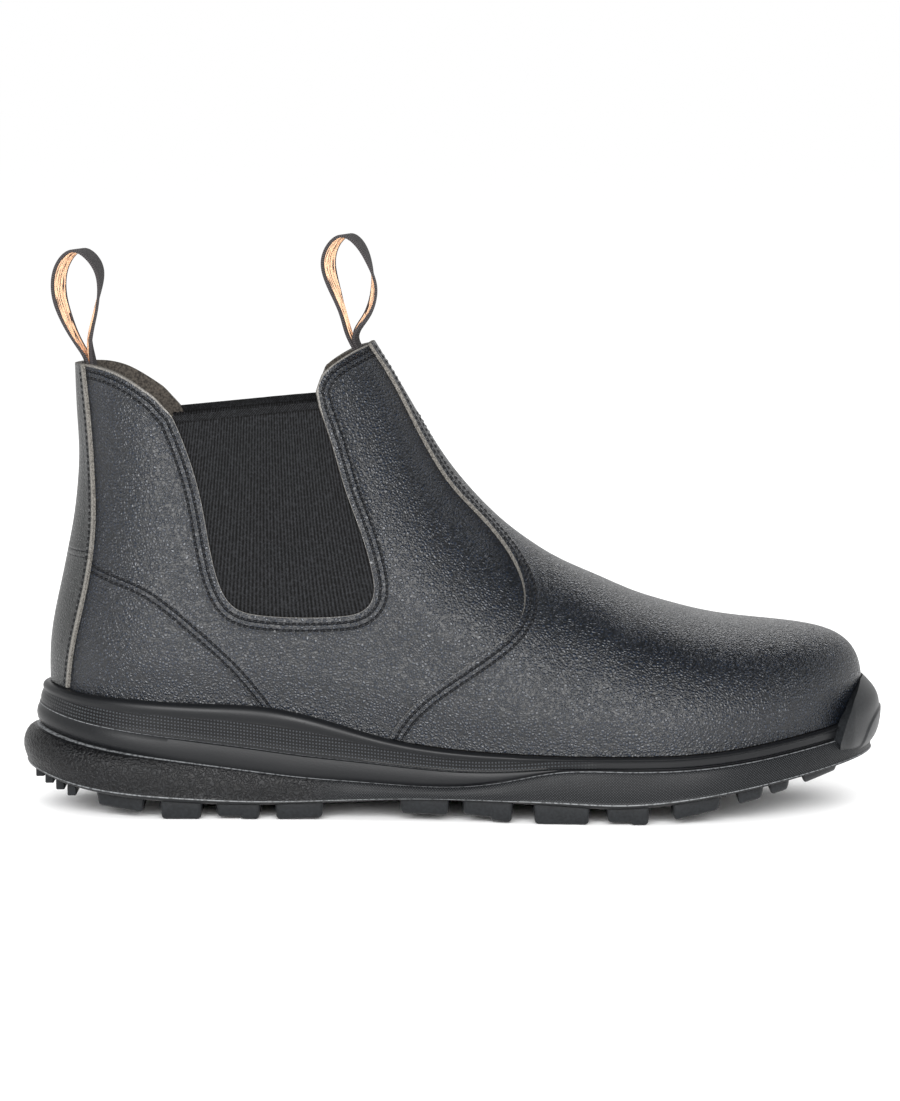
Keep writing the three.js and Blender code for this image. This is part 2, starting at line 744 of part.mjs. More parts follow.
function makeBumper() {
  const rings = [
    soleRing((x) => mix(soleLine('split', x), soleLine('groove', x), 0.1), 0.9 * soleFlare),
    soleRing((x) => mix(soleLine('split', x), soleLine('groove', x), 0.5), bumperWidth),
    soleRing((x) => soleLine('rim', x) + 0.1 * soleHeight, bumperWidth),
    soleRing((x) => soleLine('rim', x) + 0.27 * soleHeight, 0.75 * bumperWidth),
    soleRing((x) => soleLine('rim', x) + 0.33 * soleHeight, 0.3 * bumperWidth),
  ];
  const side = [[0.972, 0.3], [0.972, 0.66], [0.98, 0.84], [0.986, 0.95], [1.0, 1.05], [1.1, 1.1], [1.1, 0.2]];
  const reach = sidePrism(side.map(([along, height]) => [along * lastLength, height * soleHeight]));
  const rim = midsoleLevels.map((level) => soleRing(levelHeight(level), level.out * rimWidth + seamGap));
  const low = soleRing((x) => soleLine('split', x), rimWidth + seamGap);
  const high = soleRing((x) => soleLine('rim', x) + seamGap, midsoleLevels.at(-1).out * rimWidth + seamGap);
  const keepClear = stack([low, ...rim, high]);
  const vampFace = lastForm(2 * seamGap + overlayThickness, 4, 0);
  return stack(rings).intersect(reach).subtract(keepClear).subtract(vampFace);
}

function makeOutsole() {
  const rings = outsoleLevels.map((level) => soleRing(
    levelHeight(level),
    (x) => level.out * soleFlare + level.kick * heelKick * kickShape(x),
  ));
  rings.push(soleRing((x) => soleLine('groove', x), boatEdge + seamGap));
  rings.push(soleRing(innerPlane, boatEdge + seamGap));
  const lugs = [];
  for (const row of edgeLugRows) {
    const from = row.from * lastLength;
    const to = row.to * lastLength;
    const step = mix(from, to, 0.56);
    for (const side of [-1, 1]) {
      if (row.notched) {
        lugs.push(makeLug(from, step + lugTaper, side, lugNotch));
        lugs.push(makeLug(step - lugTaper, to, side, 0));
      } else {
        lugs.push(makeLug(from, to, side, 0));
      }
    }
  }
  for (const row of heelRibRows) {
    lugs.push(makeHeelRib(row));
  }
  for (const row of centreBarRows) {
    lugs.push(makeBar(row.from * lastLength, row.to * lastLength));
  }
  return wasm.Manifold.union([stack(rings), makeBumper(), ...lugs]);
}

function makeInsole() {
  const edge = -upperWall - seamGap;
  return stack([
    soleRing((x) => featherLine(x), edge),
    soleRing((x) => featherLine(x) + insoleThickness, edge),
  ]);
}

// A strip of tape folded into a loop in the side view. Its tails are cupped against the round
// inside of the collar, and its upper part is turned a little.
function makeLoop(rows, foot, cup) {
  const place = (row) => new THREE.Vector3(foot.x + row.ahead * loopHeight, 0, foot.z + row.up * loopHeight);
  const path = new THREE.CatmullRomCurve3(rows.map(place));
  const steps = 22;
  const outer = [];
  const inner = [];
  for (let i = 0; i <= steps; i++) {
    const p = path.getPoint(i / steps);
    const t = path.getTangent(i / steps);
    const half = loopTapeThickness / 2;
    outer.push([p.x - t.z * half, p.z + t.x * half]);
    inner.push([p.x + t.z * half, p.z - t.x * half]);
  }
  const across = 2;
  const rings = [];
  for (let i = 0; i <= across; i++) {
    const y = mix(-0.5, 0.5, i / across) * loopTapeWidth;
    rings.push([...outer, ...inner.toReversed()].map(([x, z]) => {
      const high = ramp((z - foot.z) / (0.6 * loopHeight));
      return new THREE.Vector3(x + loopTwist * high * y + cup * (1 - high) * y * y, y, z);
    }));
  }
  return stripSolid(rings);
}

// A closed manifold from equal outlines side by side, each outline a folded strip
function stripSolid(rings) {
  const count = rings[0].length;
  const half = count / 2;
  const vertices = rings.flat().flatMap((p) => [p.x, p.y, p.z]);
  const faces = [];
  for (let k = 0; k < rings.length - 1; k++) {
    for (let i = 0; i < count; i++) {
      const a = k * count + i;
      const b = k * count + (i + 1) % count;
      faces.push(a, b, b + count, a, b + count, a + count);
    }
  }
  const end = (rings.length - 1) * count;
  for (let i = 0; i < half - 1; i++) {
    const far = count - 1 - i;
    faces.push(i, far, i + 1, far, far - 1, i + 1);
    faces.push(end + i, end + i + 1, end + far, end + far, end + i + 1, end + far - 1);
  }
  return facing(vertices, faces);
}

const rearFoot = {
  x: backLine(collarBackHeight) + upperWall + seamGap + loopTapeThickness / 2,
  z: collarBackHeight,
};
const frontSlope = (topLine(peak.x) - topLine(collarFrontRows.at(-1).along * lastLength))
  / (peak.x - collarFrontRows.at(-1).along * lastLength);
const frontFoot = {
  x: peak.x + (collarHeight - topLine(peak.x)) / frontSlope - 1.3 * upperWall - 2 * seamGap - loopTapeThickness / 2,
  z: collarHeight,
};
const rearCup = 0.5 / (shaftWidth / 2 - 2 * upperWall);
const frontCup = -0.5 / (shaftWidth / 3);

const boot = new THREE.Group();
boot.add(
  meshOf('outsole', makeOutsole(), treadRubber),
  meshOf('midsole', makeMidsole(), cushionedSole),
  meshOf('insole', makeInsole(), footbedCloth),
  meshOf('upper', makeUpper(), leather),
  meshOf('vamp', makeVamp(), leather),
  meshOf('backstay', makeBackstay(), leather),
  meshOf('gore_lateral', makeGore(-1), elastic),
  meshOf('gore_medial', makeGore(1), elastic),
  meshOf('pull_loop_rear', makeLoop(rearLoopRows, rearFoot, rearCup), webbing),
  meshOf('pull_loop_front', makeLoop(frontLoopRows, frontFoot, frontCup), webbing),
);
boot.position.x = -heelRestShare * lastLength;

export default boot;
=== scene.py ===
import math
import bpy
import numpy as np
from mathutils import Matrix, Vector, kdtree


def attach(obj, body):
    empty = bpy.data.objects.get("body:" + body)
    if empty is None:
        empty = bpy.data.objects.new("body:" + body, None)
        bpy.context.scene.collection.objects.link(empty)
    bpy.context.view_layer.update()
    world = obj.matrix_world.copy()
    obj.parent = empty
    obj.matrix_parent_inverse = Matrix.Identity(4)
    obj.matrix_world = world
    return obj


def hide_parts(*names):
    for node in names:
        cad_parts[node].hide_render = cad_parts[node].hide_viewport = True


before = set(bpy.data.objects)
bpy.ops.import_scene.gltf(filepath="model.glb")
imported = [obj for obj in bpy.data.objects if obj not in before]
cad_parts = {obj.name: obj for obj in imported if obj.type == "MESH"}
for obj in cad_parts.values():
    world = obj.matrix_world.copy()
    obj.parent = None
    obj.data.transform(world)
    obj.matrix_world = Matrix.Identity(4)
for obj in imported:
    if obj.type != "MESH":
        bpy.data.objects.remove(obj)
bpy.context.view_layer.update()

bpy.ops.object.select_all(action="DESELECT")
print("boot: frame loaded")

# All shapes are worked out in millimetres with x = 0 at the back of the lasted heel and z = 0 on
# the floor, as the solids are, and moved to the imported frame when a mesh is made.
last = {
    "length": 287.0, "ballWidth": 98.0, "shaftWidth": 54.0, "collarHeight": 166.0,
    "collarBackHeight": 157.0, "toeHeight": 63.0, "counterHeight": 60.0, "heelLean": 11.0,
    "heelRound": 42.0, "toeRound": 72.0, "vampSwell": 1.5, "cornerCut": 0.2, "originShare": 0.233,
}
sole = {
    "height": 44.0, "rimRecess": 8.0, "rimWidth": 3.8, "boatWall": 1.5, "flare": 4.8, "kick": 5.6, "bulge": 3.8,
    "bumperWidth": 7.6, "plate": 2.8, "gap": 0.3, "lugReach": 22.0, "lugTaper": 0.8, "barWidth": 20.0,
    "lugOut": 0.66, "lugTop": 1.2, "lugRound": 1.4, "notchAt": 0.56, "notchDeep": 0.9, "notchOpen": 2.4,
}
length = last["length"]
originX = last["originShare"] * length

# along, height, cover, full
dorsalRows = [
    (0.39, 1.005, 0.56, 2.0), (0.43, 0.82, 0.6, 2.0), (0.47, 0.635, 0.66, 2.0),
    (0.51, 0.487, 0.74, 2.0), (0.55, 0.371, 0.83, 2.05), (0.6, 0.268, 0.93, 2.15),
    (0.65, 0.193, 0.98, 2.25), (0.7, 0.132, 1.0, 2.35), (0.76, 0.073, 1.0, 2.5),
    (0.82, 0.032, 1.0, 2.6), (0.88, 0.012, 1.0, 2.7), (1.0, -0.012, 1.0, 2.8),
]
# height, lean, round
heelRows = [
    (0.26, 0.0, 1.0), (0.36, 0.03, 1.0), (0.43, 0.2, 0.97), (0.49, 0.4, 0.93), (0.56, 0.62, 0.88),
    (0.62, 0.79, 0.82), (0.69, 0.92, 0.77), (0.76, 0.98, 0.73), (0.84, 0.93, 0.7), (0.95, 0.87, 0.68),
]
# along, lateral, medial, curve
planRows = [
    (0.0, 0.35, 0.34, 0.0), (0.2, 0.355, 0.335, 0.0), (0.35, 0.37, 0.315, 0.0),
    (0.45, 0.405, 0.325, 0.005), (0.55, 0.46, 0.375, 0.015), (0.65, 0.51, 0.435, 0.03),
    (0.73, 0.535, 0.465, 0.045), (0.82, 0.55, 0.455, 0.065), (1.0, 0.52, 0.42, 0.095),
]
# along, rim, band, groove, split
soleRows = [
    (0.0, 1.02, 0.85, 0.68, 0.345), (0.04, 0.985, 0.78, 0.61, 0.25), (0.1, 0.958, 0.71, 0.535, 0.177),
    (0.18, 0.93, 0.637, 0.457, 0.135), (0.26, 0.905, 0.57, 0.388, 0.125), (0.31, 0.85, 0.526, 0.349, 0.136),
    (0.37, 0.74, 0.486, 0.321, 0.156), (0.43, 0.64, 0.446, 0.296, 0.175), (0.5, 0.578, 0.412, 0.29, 0.182),
    (0.56, 0.555, 0.415, 0.34, 0.171), (0.62, 0.543, 0.445, 0.42, 0.154), (0.7, 0.541, 0.455, 0.432, 0.134),
    (0.78, 0.556, 0.47, 0.445, 0.187), (0.86, 0.61, 0.523, 0.498, 0.277), (0.93, 0.677, 0.59, 0.565, 0.358),
    (1.0, 0.74, 0.65, 0.625, 0.435),
]
treadRows = [
    (-0.04, 0.25), (0.055, 0.095), (0.12, 0.045), (0.135, 0.0), (0.32, 0.0), (0.34, 0.02), (0.42, 0.065),
    (0.5, 0.05), (0.575, 0.0), (0.735, 0.0), (0.78, 0.065), (0.86, 0.175), (0.97, 0.34),
]


def mix(a, b, t):
    return a + (b - a) * t


def ramp(t):
    s = np.clip(t, 0.0, 1.0)
    return s * s * (3 - 2 * s)


def splineOf(at, value):
    # Natural cubic curve through a table's column, straight on past its ends
    x, y = np.array(at, float), np.array(value, float)
    n, h = len(x), np.diff(x)
    m, r = np.eye(n), np.zeros(n)
    for i in range(1, n - 1):
        m[i, i - 1:i + 2] = h[i - 1], 2 * (h[i - 1] + h[i]), h[i]
        r[i] = 6 * ((y[i + 1] - y[i]) / h[i] - (y[i] - y[i - 1]) / h[i - 1])
    bend = np.linalg.solve(m, r)
    first = (y[1] - y[0]) / h[0] - h[0] * bend[1] / 6
    final = (y[-1] - y[-2]) / h[-1] + h[-1] * bend[-2] / 6

    def curve(t):
        t = np.asarray(t, float)
        c = np.clip(t, x[0], x[-1])
        i = np.clip(np.searchsorted(x, c, side="right") - 1, 0, n - 2)
        a = (x[i + 1] - c) / h[i]
        b = 1 - a
        v = a * y[i] + b * y[i + 1] + ((a ** 3 - a) * bend[i] + (b ** 3 - b) * bend[i + 1]) * h[i] ** 2 / 6
        return v + (t - c) * np.where(t < x[0], first, final)
    return curve


def columns(rows):
    table = list(zip(*rows))
    return [splineOf(table[0], column) for column in table[1:]]


dorsal, dorsalCover, dorsalFull = columns(dorsalRows)
heelLine, heelDepth = columns(heelRows)
lateralPlan, medialPlan, curvePlan = columns(planRows)
soleCurves = dict(zip(("rim", "band", "groove", "split"), columns(soleRows)))


def topLine(x):
    return last["toeHeight"] + (last["collarHeight"] - last["toeHeight"]) * dorsal(x / length)


def soleLine(name, x):
    return sole["height"] * soleCurves[name](np.asarray(x, float) / length)


def featherLine(x):
    return soleLine("rim", x) - sole["rimRecess"]


def backLine(z):
    return last["heelLean"] * heelLine(np.maximum(heelRows[0][0], z / last["collarHeight"]))


def centreLine(x):
    return last["ballWidth"] * curvePlan(np.asarray(x, float) / length)


def treadLine(x):
    return sole["height"] * np.interp(np.asarray(x, float) / length, *zip(*treadRows))


def openness(x, z):
    # 1 deep inside the last's side view, 0 on its outline
    seen = np.maximum(dorsalRows[0][0] * length, x)
    depth = (topLine(seen) - soleLine("rim", seen)) * dorsalCover(seen / length)
    nearTop = np.maximum(0, 1 - (topLine(x) - z) / depth)
    nearToe = np.maximum(0, 1 - (length - x) / last["toeRound"])
    backDepth = last["heelRound"] * heelDepth(np.maximum(heelRows[0][0], z / last["collarHeight"]))
    nearHeel = np.maximum(0, 1 - (x - backLine(z)) / backDepth)
    top = 1 - nearTop ** dorsalFull(seen / length)
    return top * (1 - nearToe ** 2) * (1 - nearHeel ** 2) - last["cornerCut"] * nearTop ** 4 * nearToe ** 6


def fullWidth(x, z, side):
    foot = last["ballWidth"] * np.where(side < 0, lateralPlan(x / length), medialPlan(x / length))
    foot = foot + last["vampSwell"] * ramp((z - soleLine("rim", x)) / (2 * sole["rimRecess"]))
    up = ramp((z - last["counterHeight"]) / (last["collarBackHeight"] - last["counterHeight"]))
    return mix(foot, last["shaftWidth"] / 2, up)


rayX, rayZ = 0.55 * length, float(featherLine(length))


def leaveLast(angle):
    # Where rays in the side view leave the last
    dx, dz = np.cos(angle), np.sin(angle)
    reach = np.arange(4, 280, 4.0)[:, None]
    shut = openness(rayX + reach * dx, rayZ + reach * dz) <= 0
    outside = 4 + 4.0 * np.argmax(shut, axis=0)
    inside = outside - 4
    for _ in range(40):
        middle = (inside + outside) / 2
        openThere = openness(rayX + middle * dx, rayZ + middle * dz) > 0
        inside, outside = np.where(openThere, middle, inside), np.where(openThere, outside, middle)
    return rayX + inside * dx, rayZ + inside * dz


peakX, peakZ = (dorsalRows[0][0] - 0.018) * length, last["collarHeight"] + 10
widest = math.atan2(peakZ - rayZ, peakX - rayX)
ringSteps = np.linspace(0, 1, 4001)
ringHeelZ = mix(float(featherLine(0)), last["collarBackHeight"] + 5, ringSteps ** 1.5)
ringHeelX = backLine(ringHeelZ)
ringFrontX, ringFrontZ = leaveLast(widest * ringSteps ** 1.7)


def lastPoint(u, v):
    # Rings run from the back of the heel to the front, and climb from the feather edge to the collar
    s = (1 - np.cos(u)) / 2
    heelX, heelZ = np.interp(v, ringSteps, ringHeelX), np.interp(v, ringSteps, ringHeelZ)
    frontX, frontZ = np.interp(v, ringSteps, ringFrontX), np.interp(v, ringSteps, ringFrontZ)
    sag = (featherLine(length * s) - mix(ringHeelZ[0], ringFrontZ[0], s)) * (1 - v) ** 3
    x, z = mix(heelX, frontX, s), mix(heelZ, frontZ, s) + sag
    side = np.where(np.sin(u) < 0, 1.0, -1.0)
    reach = side * fullWidth(x, z, side) * np.sqrt(np.maximum(0, openness(x, z)))
    return np.stack([x, centreLine(x) + np.where(np.abs(np.sin(u)) < 1e-9, 0, reach), z], axis=-1)


def unit(vectors):
    return vectors / np.maximum(1e-12, np.linalg.norm(vectors, axis=-1, keepdims=True))


def lastNormal(u, v):
    step = 2e-3
    along = lastPoint(u + step, v) - lastPoint(u - step, v)
    up = lastPoint(u, np.minimum(1, v + step)) - lastPoint(u, np.maximum(0, v - step))
    return unit(np.cross(along, up))


def sidePoint(x, z, side):
    # The last's surface and its normal at a place of the side view
    def reach(px, pz):
        w = fullWidth(px, pz, np.full(np.shape(px), side)) * np.sqrt(np.maximum(1e-5, openness(px, pz)))
        return centreLine(px) + side * w
    e = 0.05
    y = reach(x, z)
    slopeX = (reach(x + e, z) - reach(x - e, z)) / (2 * e)
    slopeZ = (reach(x, z + e) - reach(x, z - e)) / (2 * e)
    return np.stack([x, y, z], -1), unit(side * np.stack([-slopeX, np.ones_like(y), -slopeZ], -1))


def distances(points, power=1.0):
    # How far along a polyline each of its points lies
    return np.concatenate([[0], np.cumsum(np.linalg.norm(np.diff(points, axis=0), axis=1) ** power)])


def dense(points, step, closed=False):
    # A polyline with a point at every step
    p = np.array(points, float)
    if closed:
        p = np.vstack([p, p[:1]])
    d = distances(p)
    at = np.linspace(0, d[-1], max(2, int(d[-1] / step) + 1))
    return np.stack([np.interp(at, d, p[:, i]) for i in range(p.shape[1])], -1)


def smooth(points, count):
    # A smooth curve through points, in any number of dimensions
    p = np.array(points, float)
    d = distances(p, 0.5)
    at = np.linspace(0, d[-1], count)
    return np.stack([splineOf(d, p[:, i])(at) for i in range(p.shape[1])], -1)


def nearCurve(points, curve):
    # Distance from each point to a polyline
    tree = kdtree.KDTree(len(curve))
    flat = np.zeros((len(curve), 3))
    flat[:, :curve.shape[1]] = curve
    for i, p in enumerate(flat):
        tree.insert(p, i)
    tree.balance()
    q = np.zeros((len(points), 3))
    q[:, :points.shape[1]] = points
    found = [tree.find(p) for p in q]
    index = np.array([f[1] for f in found])
    best = np.array([f[2] for f in found])
    for shift in (-1, 0):
        a = flat[np.clip(index + shift, 0, len(flat) - 2)]
        b = flat[np.clip(index + shift, 0, len(flat) - 2) + 1]
        t = np.clip(((q - a) * (b - a)).sum(1) / np.maximum(1e-12, ((b - a) ** 2).sum(1)), 0, 1)
        best = np.minimum(best, np.linalg.norm(q - a - (b - a) * t[:, None], axis=1))
    return best


def insideOf(polygon):
    # A function of side-view points: how far inside the polygon they lie
    ring = dense(polygon, 0.7, closed=True)

    def signed(points):
        inside = np.zeros(len(points), bool)
        x, z = points[:, 0], points[:, 1]
        corners = np.array(polygon, float)
        for a, b in zip(corners, np.roll(corners, -1, axis=0)):
            if a[1] != b[1]:
                cross = (z < a[1]) != (z < b[1])
                inside ^= cross & (x < (b[0] - a[0]) * (z - a[1]) / (b[1] - a[1]) + a[0])
        return np.where(inside, 1, -1) * nearCurve(points, ring)
    return signed


def clip(places, faces, values):
    # Keeps the part of a mesh where its values are above zero, with its new edge on the zero line
    places, values = [np.array(p) for p in places], list(map(float, values))
    moves = {}
    for face in faces:
        v = [values[i] for i in face]
        if min(v) < 0 < max(v):
            for i, j in zip(face, face[1:] + face[:1]):
                if values[i] * values[j] < 0:
                    t = values[i] / (values[i] - values[j])
                    near, other, share = (i, j, t) if t < 0.5 else (j, i, 1 - t)
                    if share < 0.25 and share < moves.get(near, (1, 0))[0]:
                        moves[near] = (share, mix(places[near], places[other], share))
    for near, (_, place) in moves.items():
        places[near], values[near] = place, 0.0
    made, kept = {}, []
    for face in faces:
        v = [values[i] for i in face]
        if max(v) <= 0:
            continue
        if min(v) >= 0:
            kept.append(face)
            continue
        loop = []
        for i, j in zip(face, face[1:] + face[:1]):
            if values[i] >= 0:
                loop.append(i)
            if values[i] * values[j] < 0:
                key = (min(i, j), max(i, j))
                if key not in made:
                    t = values[key[0]] / (values[key[0]] - values[key[1]])
                    places.append(mix(places[key[0]], places[key[1]], t))
                    values.append(0.0)
                    made[key] = len(places) - 1
                loop.append(made[key])
        if len(loop) > 2:
            kept.append(loop)
    used = sorted({i for face in kept for i in face})
    renumber = {old: new for new, old in enumerate(used)}
    return np.array([places[i] for i in used]), [[renumber[i] for i in face] for face in kept]


def gridFaces(n, rows):
    return [[k * n + i, k * n + i + 1, (k + 1) * n + i + 1, (k + 1) * n + i]
            for k in range(rows - 1) for i in range(n - 1)]


def gridOf(us, vs):
    return np.array([(u, v) for v in vs for u in us]), gridFaces(len(us), len(vs))


def makePiece(name, points, faces, body="root"):
    # A form of the last or of the sole has no primitive to start from, so its faces are laid directly
    mesh = bpy.data.meshes.new(name)
    place = (np.asarray(points, float) - [originX, 0, 0]) / 1000
    mesh.from_pydata(place.tolist(), [], faces)
    mesh.update()
    piece = bpy.data.objects.new(name, mesh)
    bpy.context.collection.objects.link(piece)
    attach(piece, body)
    return piece


def keep(piece, name, values):
    attribute = piece.data.attributes.new(name, "FLOAT", "POINT")
    attribute.data.foreach_set("value", np.asarray(values, np.float32))


def choose(piece):
    bpy.ops.object.select_all(action="DESELECT")
    piece.select_set(True)
    bpy.context.view_layer.objects.active = piece


def finishWith(piece, kind, **settings):
    choose(piece)
    modifier = piece.modifiers.new(kind.title(), kind)
    for key, value in settings.items():
        setattr(modifier, key, value)
    bpy.ops.object.modifier_apply(modifier=modifier.name)


def smoothFaces(piece, degrees=35):
    choose(piece)
    bpy.ops.object.shade_smooth_by_angle(angle=math.radians(degrees))


# Materials

def linear(hexColour):
    channels = [int(hexColour[i:i + 2], 16) / 255 for i in (1, 3, 5)]
    return tuple(c / 12.92 if c <= 0.04045 else ((c + 0.055) / 1.055) ** 2.4 for c in channels) + (1.0,)


def addNode(tree, kind, values=None, links=None, **settings):
    made = tree.nodes.new("ShaderNode" + kind)
    for key, value in settings.items():
        setattr(made, key, value)
    for socket, value in (values or {}).items():
        made.inputs[socket].default_value = value
    for socket, source in (links or {}).items():
        if not isinstance(source, bpy.types.NodeSocket):
            source = source.outputs[0]
        tree.links.new(source, made.inputs[socket])
    return made


def calc(tree, operation, *terms):
    # A Math node over numbers and other nodes
    numbers = {i: term for i, term in enumerate(terms) if isinstance(term, (int, float))}
    sources = {i: term for i, term in enumerate(terms) if i not in numbers}
    return addNode(tree, "Math", numbers, sources, operation=operation)


def wave(tree, source, pitch, operation="SINE"):
    return calc(tree, operation, calc(tree, "MULTIPLY", source, 2 * math.pi / pitch))


def fade(tree, source, first, final, low=0.0, high=1.0, kind="LINEAR"):
    return addNode(tree, "MapRange", {"From Min": first, "From Max": final, "To Min": low, "To Max": high},
                   {"Value": source}, interpolation_type=kind)


def noise(tree, place, scale, detail):
    return addNode(tree, "TexNoise", {"Scale": scale, "Detail": detail}, {"Vector": place})


def own(tree, name):
    # One of the piece's own attributes
    return addNode(tree, "Attribute", attribute_name=name).outputs["Fac"]


def blend(tree, share, *colours):
    # Two colours mixed, each a hex value or what another node gives
    fixed = {i + 1: linear(c) for i, c in enumerate(colours) if isinstance(c, str)}
    sources = {i + 1: c for i, c in enumerate(colours) if not isinstance(c, str)}
    return addNode(tree, "MixRGB", fixed, {0: share, **sources})


def bumpOf(tree, height, strength, distance):
    return addNode(tree, "Bump", {"Strength": strength, "Distance": distance}, {"Height": height})


def newMaterial(name):
    material = bpy.data.materials.new(name)
    material.use_nodes = True
    material.node_tree.nodes.clear()
    return material, material.node_tree


def finishMaterial(tree, values, links):
    shader = addNode(tree, "BsdfPrincipled", values, links)
    addNode(tree, "OutputMaterial", links={"Surface": shader})


# dark and light: base colour off and on the pebble crowns, light being a painted blue-grey highlight; groove:
# painted shade in the stitch grooves; raw: the cut edge's own pale fibre
leatherLook = {
    "dark": "#07090c", "light": "#1b222e", "groove": "#0d0f13", "raw": "#66635e",
    "pebble": 0.00108, "pore": 0.0005, "roughness": 0.27, "relief": 0.00018, "rowGaps": (2.2, 4.6), "rowWidth": 0.6, "puff": 3.0,
}


def fullGrainLeather(look, name):
    # Full-grain leather, drum-dyed and lightly corrected: even pebble with bright flecks where the light strikes,
    # partly from real gloss and partly a painted blue-grey highlight on the pebble crowns, stitched rows sunk
    # between puffed leather with painted shade in their grooves, and a cut edge of pale fibre
    material, tree = newMaterial(name)
    place = addNode(tree, "TexCoord").outputs["Object"]
    drift = noise(tree, place, 300.0, 2.0)
    bent = addNode(tree, "MixRGB", {"Fac": 0.0009}, {"Color1": place, "Color2": drift.outputs["Color"]},
                   blend_type="ADD")
    pebble = addNode(tree, "TexVoronoi", {"Scale": 1 / look["pebble"], "Randomness": 1.0}, {"Vector": bent},
                     feature="DISTANCE_TO_EDGE")
    crown = fade(tree, pebble, 0.0, 0.38, kind="SMOOTHSTEP")
    pores = noise(tree, place, 1 / look["pore"], 2.0)
    broad = noise(tree, place, 55.0, 3.0)
    seams = {attribute: own(tree, attribute) for attribute in ("seamA", "seamB")}

    def band(seam, middle, width):
        off = calc(tree, "SUBTRACT", seam, middle)
        size = calc(tree, "ABSOLUTE", off)
        return fade(tree, size, 0.0, width, 1.0, 0.0, kind="SMOOTHSTEP")
    groove, puffs = None, None
    for attribute, gaps in (("seamA", look["rowGaps"]), ("seamB", look["seamGaps"])):
        for gap in gaps:
            sunk = band(seams[attribute], gap, look["rowWidth"])
            groove = calc(tree, "MAXIMUM", groove, sunk) if groove else sunk
        puff = band(seams[attribute], sum(gaps) / len(gaps), 3.4)
        puffs = calc(tree, "MAXIMUM", puffs, puff) if puffs else puff
    grain = noise(tree, place, 1.1 / look["pebble"], 1.0)
    relief = calc(tree, "MULTIPLY", grain, 1.7)
    relief = calc(tree, "ADD", relief, crown)
    raisedHeight = calc(tree, "MULTIPLY", puffs, look["puff"])
    relief = calc(tree, "ADD", relief, raisedHeight)
    sunk = calc(tree, "MULTIPLY", groove, 2.6)
    relief = calc(tree, "SUBTRACT", relief, sunk)
    bump = bumpOf(tree, relief, 0.9, look["relief"])
    # Painted highlight: the pebble crowns are coloured lighter and blue-grey, with a broad random tone
    crownHighlight = fade(tree, broad, 0.3, 0.7, 0.62, 0.82)
    crownHighlight = calc(tree, "MULTIPLY", crownHighlight, crown)
    colour = blend(tree, crownHighlight, look["dark"], look["light"])
    # Painted shade: the leather is coloured darker along the stitch rows' grooves
    colour = blend(tree, groove, colour, look["groove"])
    rawWidth = own(tree, "raw")
    toEdge = calc(tree, "SUBTRACT", seams["seamA"], rawWidth)
    cut = fade(tree, toEdge, -0.12, 0.12, 1.0, 0.0)
    fibre = fade(tree, pores, 0.3, 0.6, 0.45, 1.0)
    cut = calc(tree, "MULTIPLY", cut, fibre)
    colour = blend(tree, cut, colour, look["raw"])
    rough = fade(tree, crown, 0.0, 1.0, look["roughness"] + 0.18, look["roughness"])
    finishMaterial(tree, {"IOR": 1.5}, {"Base Color": colour, "Roughness": rough, "Normal": bump})
    return material


def plainFibre(name, dark, light, size, roughness, bumpSize):
    # Cut or brushed fibre: matt, with a fine fleck
    material, tree = newMaterial(name)
    place = addNode(tree, "TexCoord").outputs["Object"]
    fleck = noise(tree, place, 1 / size, 3.0)
    sharp = fade(tree, fleck, 0.35, 0.65)
    colour = blend(tree, sharp, dark, light)
    bump = bumpOf(tree, fleck, 0.6, bumpSize)
    finishMaterial(tree, {"Roughness": roughness, "IOR": 1.45, "Specular IOR Level": 0.25},
                   {"Base Color": colour, "Normal": bump})
    return material


ribPitch = 0.95


def ribbedElastic(name):
    # Covered rubber thread woven with polyester: upright ribs about 1 mm apart, broken into small loops
    material, tree = newMaterial(name)
    across = own(tree, "across")
    upward = own(tree, "upward")
    toTop = own(tree, "toTop")
    ribs = wave(tree, across, ribPitch)
    weave = calc(tree, "MULTIPLY", calc(tree, "MULTIPLY", ribs, wave(tree, upward, 0.8)), 0.35)
    height = calc(tree, "ADD", ribs, weave)
    hem = fade(tree, toTop, 2.2, 2.5, 1.0, 0.0, kind="SMOOTHSTEP")
    line = calc(tree, "SUBTRACT", toTop, 2.6)
    line = calc(tree, "ABSOLUTE", line)
    line = fade(tree, line, 0.1, 0.4, 1.0, 0.0)
    twill = wave(tree, calc(tree, "ADD", across, toTop), 0.9)
    height = addNode(tree, "Mix", links={0: hem, 2: height, 3: twill}, data_type="FLOAT")
    height = calc(tree, "SUBTRACT", height, line)
    place = addNode(tree, "TexCoord").outputs["Object"]
    fleck = noise(tree, place, 1300.0, 1.0)
    fleck = fade(tree, fleck, 0.42, 0.68, -0.5, 0.9)
    height = calc(tree, "ADD", height, fleck)
    bump = bumpOf(tree, height, 0.7, 0.00012)
    # Colour follows the height: painted highlight on the rib crowns, painted shade in the valleys between ribs and
    # in the hem's line
    share = fade(tree, height, -1.2, 1.9)
    colour = blend(tree, share, "#060606", "#242527")
    finishMaterial(tree, {"Roughness": 0.8, "IOR": 1.4, "Specular IOR Level": 0.15},
                   {"Base Color": colour, "Normal": bump})
    return material


